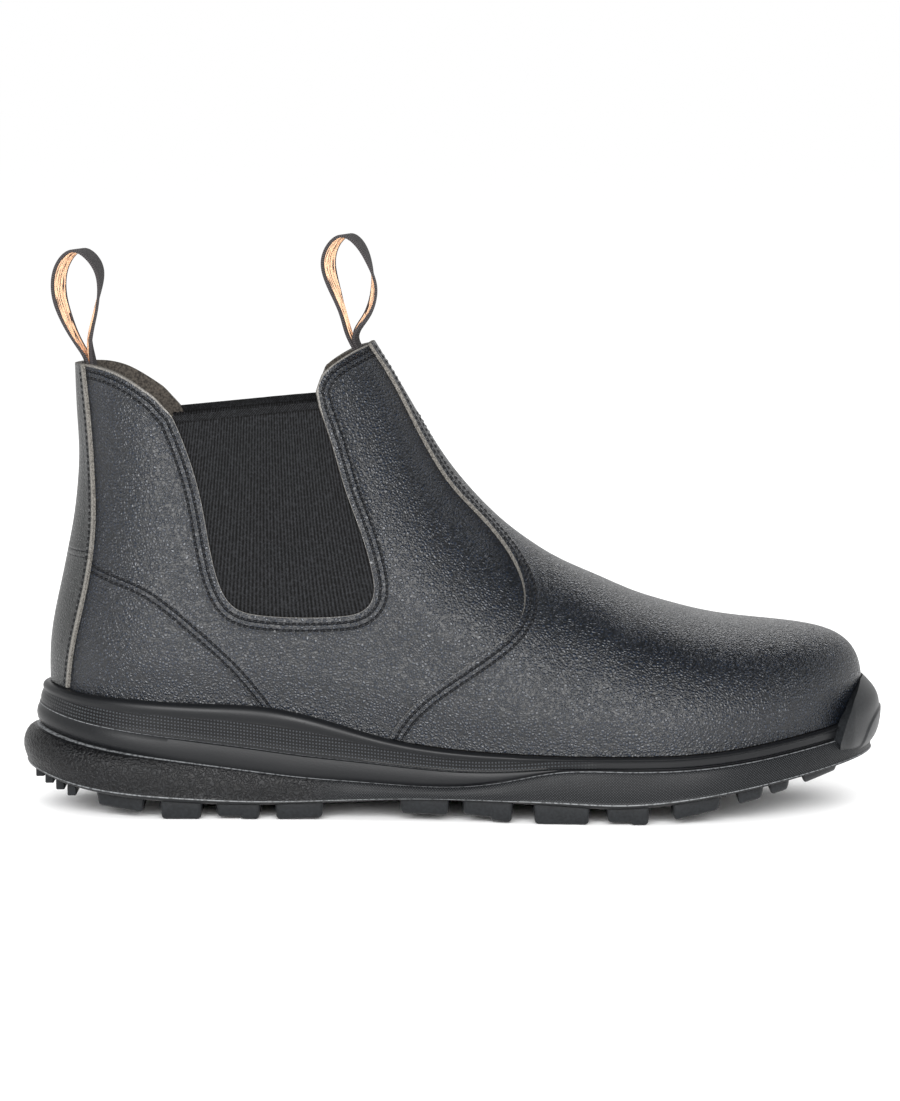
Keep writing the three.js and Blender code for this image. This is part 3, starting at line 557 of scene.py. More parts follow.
def mouldedSole(name, tones, roughness, bands, highlightLines):
    # Injection-moulded sole: satin skin with bands of fine dots, diagonal weave or grain, their gaps painted dark
    # as shade and their crowns painted light as highlight, and broken pale lines along the edge ridges that are
    # painted highlights
    material, tree = newMaterial(name)
    around = own(tree, "around")
    up = own(tree, "up")
    share = own(tree, "share")
    along = own(tree, "along")
    place = addNode(tree, "TexCoord").outputs["Object"]
    skin = noise(tree, place, 1500.0, 3.0)
    broad = noise(tree, place, 45.0, 3.0)
    speckle = noise(tree, place, 1050.0, 1.5)
    height = calc(tree, "MULTIPLY", skin, 0.12)
    colour = addNode(tree, "RGB").outputs[0]
    colour.default_value = linear(tones[1])
    for band in bands:
        if band["kind"] == "grain":
            dots = fade(tree, speckle, 0.4, 0.62)
        else:
            first, second = around, up
            if band["kind"] == "weave":
                first = calc(tree, "ADD", around, up)
                second = calc(tree, "SUBTRACT", around, up)
            waves = [wave(tree, source, band["pitch"], "COSINE") for source in (first, second)]
            dots = calc(tree, "MINIMUM", *waves)
            dots = fade(tree, dots, -0.6, 0.35)
        zone = fade(tree, share, band["share"][0] - 0.012, band["share"][0] + 0.012)
        for other in (fade(tree, share, band["share"][1] - 0.012, band["share"][1] + 0.012, 1.0, 0.0),
                      fade(tree, along, band["along"][0] - 8, band["along"][0] + 8),
                      fade(tree, along, band["along"][1] - 8, band["along"][1] + 8, 1.0, 0.0)):
            zone = calc(tree, "MULTIPLY", zone, other)
        lifted = calc(tree, "MULTIPLY", dots, zone)
        height = calc(tree, "ADD", height, lifted)
        # Painted light on the textured bands: gaps coloured dark as shade, raised dots coloured light as highlight
        crown = tones[1] if band["kind"] == "grain" else tones[2]
        paintedLightPattern = blend(tree, dots, tones[0], crown)
        colour = blend(tree, zone, colour, paintedLightPattern)
    # Painted highlight: broken pale lines along the ridges at the given shares
    broken = fade(tree, speckle, 0.36, 0.56, 0.25, 1.0)
    for at, wide in highlightLines:
        off = calc(tree, "SUBTRACT", share, at)
        off = calc(tree, "ABSOLUTE", off)
        line = fade(tree, off, 0.4 * wide, wide, 1.0, 0.0)
        line = calc(tree, "MULTIPLY", line, broken)
        colour = blend(tree, line, colour, tones[3])
    bump = bumpOf(tree, height, 0.85, 0.0003)
    rough = fade(tree, broad, 0.3, 0.7, roughness - 0.05, roughness + 0.08)
    finishMaterial(tree, {"IOR": 1.5, "Specular IOR Level": 0.25},
                   {"Base Color": colour, "Roughness": rough, "Normal": bump})
    return material


def wovenTape(name, striped):
    # Woven polyester tape: charcoal ground, on its inner face a tan stripe with short dark picks
    material, tree = newMaterial(name)
    across = own(tree, "across")
    upward = own(tree, "upward")
    weave = calc(tree, "MULTIPLY", wave(tree, across, 0.9), wave(tree, upward, 0.7))
    bump = bumpOf(tree, weave, 0.7, 0.00012)
    share = fade(tree, weave, -1.0, 1.0)
    colour = blend(tree, share, "#1f1d1e", "#3d3a3b")
    if striped:
        size = calc(tree, "ABSOLUTE", across)
        stripe = fade(tree, size, 6.1, 6.5, 1.0, 0.0)
        picks = addNode(tree, "CombineXYZ", {"Z": 0.0}, {"X": across, "Y": upward})
        picks = addNode(tree, "Mapping", {"Scale": (0.9, 0.16, 1.0)}, {"Vector": picks})
        marks = noise(tree, picks, 1.0, 0.0)
        marks = fade(tree, marks, 0.57, 0.61)
        tan = blend(tree, marks, "#ffd8b4", "#2a2228")
        colour = blend(tree, stripe, colour, tan)
    finishMaterial(tree, {"Roughness": 0.8, "IOR": 1.5, "Specular IOR Level": 0.2},
                   {"Base Color": colour, "Normal": bump})
    return material


quarterLook = dict(leatherLook, seamGaps=(-1.15, 1.15))
vampLook = dict(leatherLook, rowGaps=(1.9, 4.2), seamGaps=(0.0,))
stayLook = dict(leatherLook, rowGaps=(2.1,), seamGaps=(-1.0, 1.0), dark="#0b0c0c", light="#212626")
quarterLeather = fullGrainLeather(quarterLook, "fullGrainLeatherQuarter")
vampLeather = fullGrainLeather(vampLook, "fullGrainLeatherVamp")
stayLeather = fullGrainLeather(stayLook, "fullGrainLeatherBackstay")
rawEdge = plainFibre("cutLeatherEdge", "#3a3835", "#716e69", 0.0005, 0.9, 0.0001)
liningCloth = plainFibre("brushedLining", "#2a2724", "#4c4741", 0.0008, 0.95, 0.0002)
footbedCloth = plainFibre("footbedCloth", "#1d1c1c", "#3a3735", 0.0012, 0.95, 0.0002)
threadLook = plainFibre("bondedThread", "#030304", "#101114", 0.0004, 0.5, 0.00005)
goreElastic = ribbedElastic("wovenElastic")
# tones: painted shade in the gaps, plain skin, painted highlight on the crowns, painted highlight along the edge
# lines
soleTones = ("#040405", "#101113", "#2f3235", "#6a6c6e")
# The last list of each sole gives painted highlight lines along edge ridges, as share and width
midsoleRubber = mouldedSole("mouldedPolyurethane", soleTones, 0.4, [
    {"share": (1.03, 1.6), "along": (4, 186), "pitch": 1.15, "kind": "squares"},
], [(0.985, 0.02)])
outsoleRubber = mouldedSole("mouldedNitrileRubber", soleTones, 0.46, [
    {"share": (0.13, 0.955), "along": (-40, 100), "pitch": 1.0, "kind": "grain"},
    {"share": (0.13, 0.955), "along": (100, 400), "pitch": 0.95, "kind": "weave"},
], [(0.985, 0.016), (0.115, 0.018)])
tapeOuter = wovenTape("wovenTapeOuter", False)
tapeInner = wovenTape("wovenTapeInner", True)
print("boot: materials made")


# Outlines of the panels in the side view

collar = {
    "back": [(0.015, 0.947), (0.05, 0.95), (0.09, 0.932), (0.132, 0.887)],
    "front": [(0.328, 0.9), (0.335, 0.932), (0.357, 0.964), (0.385, 0.988), (0.41, 1.0)],
}
gore = {
    "drop": 71.0, "width": 50.0, "top": 142.0, "centre": 80.0,
    "edge": [(0.02, -0.72), (0.18, -0.624), (0.425, -0.52), (0.67, -0.454), (0.87, -0.372), (0.958, -0.27),
             (0.99, -0.1), (1.0, 0.17), (0.993, 0.45), (0.967, 0.605), (0.9, 0.682), (0.77, 0.674),
             (0.573, 0.592), (0.376, 0.488), (0.18, 0.406), (-0.035, 0.3)],
}
vampEdge = [(1.04, 0.366), (0.99, 0.389), (0.92, 0.416), (0.84, 0.44), (0.762, 0.465), (0.69, 0.493),
            (0.61, 0.535), (0.54, 0.566), (0.47, 0.581), (0.405, 0.568), (0.345, 0.524), (0.285, 0.474),
            (0.225, 0.436), (0.15, 0.412)]
stayEdge = [(0.96, 0.044), (0.836, 0.052), (0.708, 0.057), (0.581, 0.057), (0.454, 0.045), (0.347, 0.031),
            (0.25, 0.024)]
counterSeam = [(3.0, 94.0), (7.4, 91.2), (19.2, 85.2), (33.1, 80.0), (46.9, 70.2), (59.0, 59.6), (67.7, 50.9),
               (75.3, 41.4), (78.0, 37.5)]


def placed(rows):
    return [(along * length, height * last["collarHeight"]) for along, height in rows]


def edgeLine(rows, count):
    high, low = rows[0][0], rows[-1][0]
    line = splineOf([r[0] for r in rows][::-1], [r[1] for r in rows][::-1])
    heights = np.linspace(high, low, count)
    return np.stack([line(heights) * length, heights * last["collarHeight"]], -1)


backCollar = smooth(placed(collar["back"]), 40)
frontCollar = smooth(placed(collar["front"]), 40)
goreEdge = smooth([(gore["centre"] + gore["width"] * across, gore["top"] - gore["drop"] * drop)
                   for drop, across in gore["edge"]], 160)
collarLine = np.vstack([backCollar, goreEdge, frontCollar])
openingShape = np.vstack([[(0.6 * length, 190), (-42, 190), (-42, backCollar[0][1])], collarLine,
                          [(frontCollar[-1][0] + 84, frontCollar[-1][1])]])
vampLine = edgeLine(vampEdge, 160)
vampShape = np.vstack([vampLine, [(vampLine[-1][0], -42), (length + 42, -42), (length + 42, 332),
                                  (vampLine[0][0] - 2, 332)]])
stayLine = edgeLine(stayEdge, 90)[::-1]
stayShape = np.vstack([[(-42, 0), (stayLine[0][0], 0)], stayLine, [(stayLine[-1][0], 332), (-42, 332)]])
cutAway = insideOf(openingShape)
inVamp = insideOf(vampShape)
inStay = insideOf(stayShape)
seamCurve = smooth(counterSeam, 90)


def onSides(line):
    # A side-view line carried to the last's surface on both sides
    p = dense(line, 0.4)
    p = p[openness(p[:, 0], p[:, 1]) > 0.0005]
    return [sidePoint(p[:, 0], p[:, 1], side)[0] for side in (-1.0, 1.0)]


# Soft troughs and ridges, listed: across the flex line, behind the vamp's corner, over the counter
# from ahead and up, to ahead and up, width, height
folds = [
    (176, 88, 186, 40, 7, -0.55), (190, 84, 204, 42, 6, 0.35), (205, 78, 214, 44, 7, -0.4),
    (128, 132, 152, 96, 6, -0.4), (118, 66, 150, 52, 7, -0.45), (112, 52, 140, 42, 6, 0.3),
    (28, 60, 62, 46, 8, 0.35), (20, 104, 30, 128, 7, -0.35), (104, 118, 112, 92, 6, 0.3),
]


def softForms(x, z):
    total = 0.0
    for ax, az, bx, bz, width, height in folds:
        px, pz = bx - ax, bz - az
        t = np.clip(((x - ax) * px + (z - az) * pz) / (px * px + pz * pz), 0, 1)
        d = np.hypot(x - ax - px * t, z - az - pz * t)
        taper = 0.35 + 0.65 * np.sin(np.pi * np.clip(t, 0.03, 0.97))
        total = total + height * taper * np.exp(-(d / width) ** 2)
    return total


def clipOnLast(places, faces, cut):
    return clip(places, faces, cut(lastPoint(*places.T)[:, [0, 2]]))


def lastPanel(name, us, vs, cuts, out, thickness, materials, attributes):
    # A panel on the last, with its cut edges on the outlines and its thickness inwards. Leather has
    # attributes, folds and a raw edge; the lining has none and is welded where its ends meet
    places, faces = gridOf(us, vs)
    for cut in cuts:
        places, faces = clipOnLast(places, faces, cut)
    base = lastPoint(*places.T)
    lift = np.full(len(base), out) + (softForms(base[:, 0], base[:, 2]) if attributes else 0)
    piece = makePiece(name, base + lastNormal(*places.T) * lift[:, None], faces)
    for material in materials:
        piece.data.materials.append(material)
    for attribute, values in attributes.items():
        keep(piece, attribute, values(base))
    if not attributes:
        finishWith(piece, "WELD", merge_threshold=0.00001)
    finishWith(piece, "SOLIDIFY", thickness=thickness / 1000, offset=-1, use_even_offset=False,
               material_offset_rim=1 if attributes else 0)
    smoothFaces(piece)
    return piece


farAway = 50.0


def seamDistance(base, line, sign=None):
    best = np.full(len(base), farAway)
    for points in onSides(line):
        best = np.minimum(best, nearCurve(base, points))
    if sign is not None:
        best = best * np.where(sign(base[:, [0, 2]]) < 0, -1, 1)
    return best


def outsideCut(p):
    return -cutAway(p)


def aboveRim(p):
    return p[:, 1] - soleLine("rim", p[:, 0]) - 0.3


panelLap = 9
counterTop = 91.5
fullTurn = np.linspace(-math.pi, math.pi, 541)
levels = np.concatenate([np.linspace(0, 0.5, 66)[:-1], np.linspace(0.5, 1, 86)])
inCounter = insideOf(np.vstack([seamCurve, [(85, 0), (-42, 0), (-42, 94)]]))

quarter = lastPanel(
    "quarter", fullTurn, levels, [outsideCut, lambda p: panelLap - inVamp(p), lambda p: panelLap - inStay(p)],
    0.2, 1.3, [quarterLeather, rawEdge], {
        "seamA": lambda base: seamDistance(base, collarLine),
        "raw": lambda base: 0.12 + 0.5 * ramp((base[:, 2] - 138) / 6),
        "seamB": lambda base: seamDistance(base, seamCurve, inCounter),
    })
lining = lastPanel("lining", np.linspace(-math.pi, math.pi, 361), np.linspace(0, 1, 91), [outsideCut],
                   -1.35, 0.65, [liningCloth, rawEdge], {})
vampPanel = lastPanel(
    "vampPanel", np.linspace(0.36 * math.pi, 1.64 * math.pi, 480), levels, [outsideCut, inVamp, aboveRim],
    1.5, 1.25, [vampLeather, rawEdge], {
        "seamA": lambda base: seamDistance(base, vampLine),
        "seamB": lambda base: np.full(len(base), farAway),
        "raw": lambda base: 0.05 + 0.3 * ramp((base[:, 2] - 80) / 12),
    })
backstay = lastPanel(
    "backstayPanel", np.linspace(-0.672, 0.672, 121), np.linspace(0, 1, 181), [outsideCut, inStay, aboveRim],
    1.4, 1.15, [stayLeather, rawEdge], {
        "seamA": lambda base: seamDistance(base, stayLine),
        "seamB": lambda base: base[:, 2] - counterTop,
        "raw": lambda base: np.full(len(base), 1.15),
    })
print("boot: leather panels laid")


# Gores, with a folded hem along their top edge

def grown(line, amount):
    t = unit(np.gradient(line, axis=0))
    return line + amount * np.stack([t[:, 1], -t[:, 0]], -1)


goreTopBack, goreTopFront = (40.0, 140.3), (98.0, 146.0)
wide = grown(goreEdge, 4.0)
wide = wide[(wide[:, 1] < 138) | (wide[:, 0] > 60)]
wide = wide[(wide[:, 1] < 143) | (wide[:, 0] < 60)]
goreShape = np.vstack([[goreTopBack], wide, [goreTopFront]])
for side, name in ((-1, "goreLateralCloth"), (1, "goreMedialCloth")):
    us = (-side * np.linspace(0.17 * math.pi, 0.86 * math.pi, 150))[::-side]
    places, faces = gridOf(us, np.linspace(0.45, 0.99, 150))
    places, faces = clipOnLast(places, faces, insideOf(goreShape))
    base = lastPoint(*places.T)
    toTop = nearCurve(base[:, [0, 2]], dense([goreTopBack, goreTopFront], 1.0))
    hem = 0.35 * ramp((2.9 - toTop) / 0.6)
    belly = -0.25 * ramp(nearCurve(base[:, [0, 2]], dense(goreEdge, 0.8)) / 18)
    points = base + lastNormal(*places.T) * (-1.15 + hem + belly)[:, None]
    cloth = makePiece(name, points, faces)
    cloth.data.materials.append(goreElastic)
    keep(cloth, "across", base[:, 0] - 0.28 * (142 - base[:, 2]) * (base[:, 0] - 75) / 60)
    keep(cloth, "upward", base[:, 2])
    keep(cloth, "toTop", toTop)
    finishWith(cloth, "SOLIDIFY", thickness=0.0011, offset=-1, use_even_offset=False)
    smoothFaces(cloth, 50)
print("boot: gores laid")


# Stitching: one stitch modelled, then copied along every row

thread = {"pitch": 2.25, "long": 1.7, "thick": 0.8, "tilt": 0.16, "sag": 0.22}
bpy.ops.mesh.primitive_uv_sphere_add(segments=8, ring_count=6, radius=0.5, rotation=(0, math.pi / 2, 0))
stitch = bpy.context.object
bpy.ops.object.transform_apply(location=False, rotation=True, scale=True)
stitchPoints = np.array([v.co[:] for v in stitch.data.vertices])
stitchPoints[:, 0] = np.sign(stitchPoints[:, 0]) * (np.abs(stitchPoints[:, 0]) * 2) ** 0.75 / 2 * thread["long"]
stitchPoints[:, 1:] *= thread["thick"]
stitchPoints[:, 2] -= thread["sag"] * (stitchPoints[:, 0] / (thread["long"] / 2)) ** 2
stitchFaces = [list(p.vertices) for p in stitch.data.polygons]
bpy.data.objects.remove(stitch)
stitchPlaces, stitchLoops = [], []


def sewRow(line, gap, side, height, inside, limit):
    # A row of stitches at a distance from a side-view line, on the surface of the panel
    p = dense(line, 0.3)
    p = p[openness(p[:, 0], p[:, 1]) > 0.002]
    edge, n = sidePoint(p[:, 0], p[:, 1], side)
    b = unit(np.cross(n, unit(np.gradient(edge, axis=0))))
    if np.mean(inside((edge + 1.5 * b)[:, [0, 2]])) < 0:
        b = -b
    moved = edge + b * gap
    moved = moved[openness(moved[:, 0], moved[:, 2]) > 0.003]
    row, rowNormal = sidePoint(moved[:, 0], moved[:, 2], side)
    for test in (lambda r: nearCurve(r, edge) > abs(gap) * 0.9, limit):
        fine = test(row)
        row, rowNormal = row[fine], rowNormal[fine]
    if len(row) < 8:
        return
    gaps = np.linalg.norm(np.diff(row, axis=0), axis=1)
    far = np.concatenate([[0], np.cumsum(gaps)])
    for at in np.arange(thread["pitch"] / 2, far[-1], thread["pitch"]):
        i = int(np.clip(np.searchsorted(far, at) - 1, 1, len(row) - 3))
        if gaps[i] > 1.5:
            continue
        place = mix(row[i], row[i + 1], (at - far[i]) / max(1e-6, gaps[i]))
        normal = rowNormal[i]
        tangent = unit(row[i + 2] - row[i - 1])
        tangent = unit(tangent - normal * np.dot(tangent, normal))
        other = np.cross(normal, tangent)
        lead, turned = tangent + thread["tilt"] * other, other - thread["tilt"] * tangent
        lift = height + float(softForms(place[0], place[2])) + 0.02
        shape = stitchPoints @ np.array([unit(lead), unit(turned), normal]) + place + normal * lift
        start = len(stitchPlaces) * len(stitchPoints)
        stitchPlaces.append(shape)
        stitchLoops.extend([[start + k for k in face] for face in stitchFaces])


def overRim(r, by):
    return r[:, 2] > soleLine("rim", r[:, 0]) + by


# line, gaps, height over the last, the side it lies on, where its stitches stay
sewnRows = [
    (collarLine, quarterLook["rowGaps"], 0.15, outsideCut,
     lambda r: (inVamp(r[:, [0, 2]]) < 0.6) & (inStay(r[:, [0, 2]]) < 0.3)),
    (vampLine, vampLook["rowGaps"], 1.45, inVamp, lambda r: overRim(r, 1) & (cutAway(r[:, [0, 2]]) < -1)),
    (stayLine, stayLook["rowGaps"], 1.35, inStay, lambda r: overRim(r, 1) & (cutAway(r[:, [0, 2]]) < -2)),
    (seamCurve, quarterLook["seamGaps"], 0.15, inCounter, lambda r: (inStay(r[:, [0, 2]]) < 0) & overRim(r, 0.5)),
]
for side in (-1.0, 1.0):
    for line, gaps, height, inside, limit in sewnRows:
        for gap in gaps:
            sewRow(line, gap, side, height, inside, limit)
stitching = makePiece("stitching", np.vstack(stitchPlaces), stitchLoops)
stitching.data.materials.append(threadLook)
smoothFaces(stitching, 60)
print("boot: stitches sewn", len(stitchPlaces))


# Sole

def planPoint(u):
    x = length * (1 - np.cos(u)) / 2
    side = np.where(np.sin(u) < 0, 1.0, -1.0)
    z = featherLine(x)
    reach = side * fullWidth(x, z, side) * np.sqrt(np.maximum(0, openness(x, z)))
    return np.stack([x, centreLine(x) + np.where(np.abs(np.sin(u)) < 1e-9, 0, reach)], -1)


def soleRing(u, height, out):
    step = 2e-3
    p = planPoint(u)
    t = unit(planPoint(u + step) - planPoint(u - step))
    reach = out(p[:, 0]) if callable(out) else out
    z = height(p[:, 0]) if callable(height) else np.broadcast_to(height, p[:, 0].shape)
    return np.stack([p[:, 0] + t[:, 1] * reach, p[:, 1] - t[:, 0] * reach, z], -1)


def stackRings(rings, closeFirst=False, closeLast=False):
    n = len(rings[0])
    faces = [[k * n + i, k * n + (i + 1) % n, (k + 1) * n + (i + 1) % n, (k + 1) * n + i]
             for k in range(len(rings) - 1) for i in range(n)]
    half = n // 2
    for start, wanted, up in ((0, closeFirst, False), ((len(rings) - 1) * n, closeLast, True)):
        if wanted:
            for i in range(half):
                quad = [start + i, start + i + 1, start + (n - i - 1) % n, start + (n - i) % n]
                quad = quad[:3] if i == 0 else [quad[0], quad[1], quad[3]] if i == half - 1 else quad
                faces.append(quad if up else quad[::-1])
    return np.vstack(rings), faces


around = 2 * math.pi * np.arange(560) / 560
ringX = planPoint(around)[:, 0]
ringArc = distances(planPoint(around))
ringArc = np.minimum(ringArc, ringArc[-1] - ringArc)

# Between two of the side's lines: share, how far it stands out, share of the heel's bulge
midsoleLevels = {
    ("groove", "band"): [
        (0.0, 0.56, 0.65), (0.1, 0.6, 0.8), (0.25, 0.66, 0.93), (0.5, 0.68, 1.0), (0.75, 0.64, 0.95),
        (0.9, 0.6, 0.84), (0.97, 0.7, 0.72),
    ],
    ("band", "rim"): [
        (0.0, 0.84, 0.55), (0.035, 0.88, 0.5), (0.07, 0.85, 0.46), (0.25, 0.87, 0.42),
        (0.45, 0.89, 0.28), (0.6, 0.89, 0.15), (0.65, 0.93, 0.1), (0.7, 1.01, 0.06), (0.78, 1.06, 0.02),
        (0.86, 1.02, 0.0), (0.92, 0.92, 0.0), (0.965, 0.75, 0.0), (0.99, 0.52, 0.0), (1.0, 0.3, 0.0),
    ],
}
# share, how far it stands out, share of the heel's kick
outsoleLevels = [
    (0.0, 0.7, 0.3), (0.025, 0.86, 0.55), (0.05, 1.0, 0.74), (0.08, 1.05, 0.84), (0.11, 1.04, 0.88),
    (0.14, 0.99, 0.9), (0.2, 0.985, 0.95), (0.32, 1.0, 1.05), (0.45, 1.0, 1.12), (0.58, 0.97, 1.14),
    (0.7, 0.93, 1.1), (0.8, 0.88, 1.02), (0.88, 0.83, 0.9), (0.94, 0.77, 0.72), (0.98, 0.7, 0.5), (1.0, 0.6, 0.3),
]


def sideBody(name, rings, marks, material):
    points, faces = stackRings(rings, closeFirst=True)
    piece = makePiece(name, points, faces)
    piece.data.materials.append(material)
    keep(piece, "around", np.tile(ringArc, len(rings)))
    keep(piece, "along", points[:, 0])
    keep(piece, "share", np.repeat([m[0] for m in marks], len(around)))
    keep(piece, "up", np.concatenate([ring[:, 2] - m[1](ringX) for ring, m in zip(rings, marks)]))
    smoothFaces(piece, 40)
    return piece


def kickShape(x):
    return ramp(1 - x / (0.2 * length))


def bandLine(x):
    return soleLine("band", x)


def splitLine(x):
    return soleLine("split", x)


hidden = -1.0
rings = [soleRing(around, lambda x: splitLine(x) + sole["plate"], sole["gap"] + sole["boatWall"])]
marks = [(hidden, bandLine)]
for (first, second), steps in midsoleLevels.items():
    for share, out, bulge in steps:
        rise = sole["gap"] if share == 0 and first == "groove" else 0
        rings.append(soleRing(around, lambda x: mix(soleLine(first, x), soleLine(second, x), share) + rise,
                              lambda x: out * sole["rimWidth"] + bulge * sole["bulge"] * kickShape(x)))
        marks.append(((0 if first == "groove" else 1) + share, bandLine))
for drop in (0.4, 3.0, sole["rimRecess"]):
    rings.append(soleRing(around, lambda x: soleLine("rim", x) - drop, 0.3))
    marks.append((3.0, bandLine))
midsoleBody = sideBody("midsoleBody", rings, marks, midsoleRubber)

rings = [soleRing(around, lambda x: splitLine(x) + 0.4, 0.2 * sole["flare"])]
marks = [(hidden, splitLine)]
for share, out, kick in outsoleLevels:
    rings.append(soleRing(around, lambda x: mix(splitLine(x), soleLine("groove", x), share),
                          lambda x: out * sole["flare"] + kick * sole["kick"] * kickShape(x)))
    marks.append((share, splitLine))
rings.append(soleRing(around, lambda x: soleLine("groove", x) - 0.1, 1.9))
marks.append((2.0, splitLine))
outsoleBody = sideBody("outsoleBody", rings, marks, outsoleRubber)
print("boot: sole sides moulded")

# Lugs: a cube for each, shaped to the tread and bevelled
edgeLugs = [(0.058, 0.119), (0.137, 0.19), (0.205, 0.261), (0.277, 0.338), (0.429, 0.491), (0.505, 0.568),
            (0.591, 0.661), (0.679, 0.733), (0.759, 0.819), (0.838, 0.872), (0.878, 0.905), (0.92, 0.968)]
notched = {2, 5, 7}
centreBars = [(0.145, 0.185), (0.205, 0.261), (0.281, 0.315), (0.45, 0.485), (0.52, 0.56), (0.6, 0.65),
              (0.685, 0.73), (0.77, 0.81), (0.845, 0.88)]
lugPieces = []


def makeLug(low, top, roundness=sole["lugRound"]):
    bpy.ops.mesh.primitive_cube_add(size=1)
    lug = bpy.context.object
    corners = {(-1, -1): 0, (1, -1): 1, (1, 1): 2, (-1, 1): 3}
    for vertex in lug.data.vertices:
        k = corners[(1 if vertex.co.x > 0 else -1, 1 if vertex.co.y > 0 else -1)]
        x, y, z = (top if vertex.co.z > 0 else low)[k]
        vertex.co = ((x - originX) / 1000, y / 1000, z / 1000)
    finishWith(lug, "BEVEL", width=roundness / 1000, segments=3, limit_method="ANGLE",
               angle_limit=math.radians(30))
    lugPieces.append(lug)


def outlineY(x, side, out):
    u = np.arccos(np.clip(1 - 2 * x / length, -1, 1)) * -side
    return float(planPoint(np.array([u]))[0, 1] + side * out)


def edgeLug(x0, x1, side, sink=0.0):
    out, taper, reach = sole["lugOut"] * sole["flare"], sole["lugTaper"], sole["lugReach"]

    def corners(a, b, reachOut, deep, height):
        rows = []
        for x, inner in ((a, False), (b, False), (b, True), (a, True)):
            y = outlineY(x, side, reachOut) - (side * deep if inner else 0)
            rows.append((x, y, float(height(x))))
        return rows[::-side]
    top = corners(x0, x1, out, reach, lambda x: splitLine(x) + sole["lugTop"])
    low = corners(x0 + taper, x1 - taper, out - taper, reach - 2 * taper, lambda x: treadLine(x) + sink)
    makeLug(low, top)


for number, (first, final) in enumerate(edgeLugs):
    for side in (-1, 1):
        x0, x1 = first * length, final * length
        if number in notched:
            middle = mix(x0, x1, sole["notchAt"])
            edgeLug(x0, middle + sole["notchOpen"], side, sole["notchDeep"])
            edgeLug(middle - 0.8, x1, side)
        else:
            edgeLug(x0, x1, side)
for first, final in centreBars:
    x0, x1 = first * length, final * length
    half = sole["barWidth"] / 2 * (1 - 0.4 * float(ramp((first - 0.7) / 0.25)))
    taper = sole["lugTaper"]
    rows = [[(x, float(centreLine(x)) + s * (half - cut), float(h(x)))
             for x, s in ((x0 + cut, -1), (x1 - cut, -1), (x1 - cut, 1), (x0 + cut, 1))]
            for cut, h in ((taper, treadLine), (0, lambda x: splitLine(x) + sole["lugTop"]))]
    makeLug(rows[0], rows[1])

# Four small ribs across the heel's rising underside
heelRibs = {"at": [(-4.2, 13.1), (-0.6, 11.3), (3.6, 9.7), (8.0, 8.3)], "half": 17.0, "thick": 3.1, "deep": 2.6,
            "round": 0.5}
for x, z in heelRibs["at"]:
    wide = heelRibs["half"] + 1.1 * (x + 2)
    t, d = heelRibs["thick"], heelRibs["deep"]
    low = [(x + a * t / 2, b * wide, z - d / 2) for a, b in ((-1, -1), (1, -1), (1, 1), (-1, 1))]
    top = [(a, b * 1.03, c + d + 3) for a, b, c in low]
    makeLug(low, top, heelRibs["round"])
bpy.ops.object.select_all(action="DESELECT")
for lug in lugPieces:
    lug.select_set(True)
bpy.context.view_layer.objects.active = lugPieces[0]
bpy.ops.object.join()
treadLugs = bpy.context.object
treadLugs.name = "treadLugs"
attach(treadLugs, "root")
treadLugs.data.materials.clear()
treadRubber = plainFibre("treadNitrileRubber", "#131416", "#1c1e20", 0.0009, 0.4, 0.00002)
treadLugs.data.materials.append(treadRubber)
smoothFaces(treadLugs, 40)
print("boot: tread cut")

# Toe bumper: a tongue of the outsole that climbs over the toe, with a raised panel in front
bumper = {
    "side": [(0.972, 0.3), (0.972, 0.55), (0.98, 0.76), (0.988, 0.9), (1.001, 1.03), (1.1, 1.08), (1.1, 0.2)],
    "panel": [(1.05, 0.83), (1.026, 0.79), (1.013, 0.71), (1.006, 0.63), (1.001, 0.545), (0.989, 0.463),
              (0.965, 0.43)],
    "raised": 0.55,
}
bumperRows = [(-0.05, 0.3), (0.03, 0.52), (0.1, 0.7), (0.2, 0.87), (0.35, 0.99), (0.5, 1.03), (0.62, 1.0),
              (0.74, 0.87), (0.82, 0.7), (0.9, 0.47), (0.96, 0.27), (1.0, 0.12)]
places, faces = gridOf(np.linspace(math.pi - 0.5, math.pi + 0.5, 181), np.linspace(-0.05, 1.0, 60))
bumperOut = splineOf(*zip(*bumperRows))


def bumperPoint(places):
    u, k = places[:, 0], places[:, 1]
    p = soleRing(u, 0.0, bumperOut(k) * sole["bumperWidth"])
    x0 = planPoint(u)[:, 0]
    low = mix(splitLine(x0), soleLine("groove", x0), 0.25)
    top = soleLine("rim", x0) + 0.31 * sole["height"]
    p[:, 2] = mix(low, top, k)
    return p


sideShape = [(a * length, h * sole["height"]) for a, h in bumper["side"]]
inBumper = insideOf(sideShape)
panelLine = smooth([(a * length, h * sole["height"]) for a, h in bumper["panel"]], 60)
panelShape = np.vstack([panelLine, [(0.9 * length, -5), (1.2 * length, -5),
                                    (1.2 * length, 0.98 * sole["height"])]])
inPanel = insideOf(panelShape)
places, faces = clip(places, faces, inBumper(bumperPoint(places)[:, [0, 2]]))
points = bumperPoint(places)
outward = unit(np.cross(bumperPoint(places + [1e-3, 0]) - bumperPoint(places - [1e-3, 0]),
                        bumperPoint(places + [0, 1e-3]) - bumperPoint(places - [0, 1e-3])))
raised = ramp(inPanel(points[:, [0, 2]]) / 0.7 + 0.5) * bumper["raised"]
sideFade = ramp((points[:, 0] - 0.972 * length) / 5.0)
points = points + outward * (raised - 0.9 * (1 - sideFade))[:, None]
toeBumper = makePiece("toeBumper", points, faces)
toeBumper.data.materials.append(treadRubber)
finishWith(toeBumper, "SOLIDIFY", thickness=0.004, offset=-1, use_even_offset=False)
smoothFaces(toeBumper, 40)

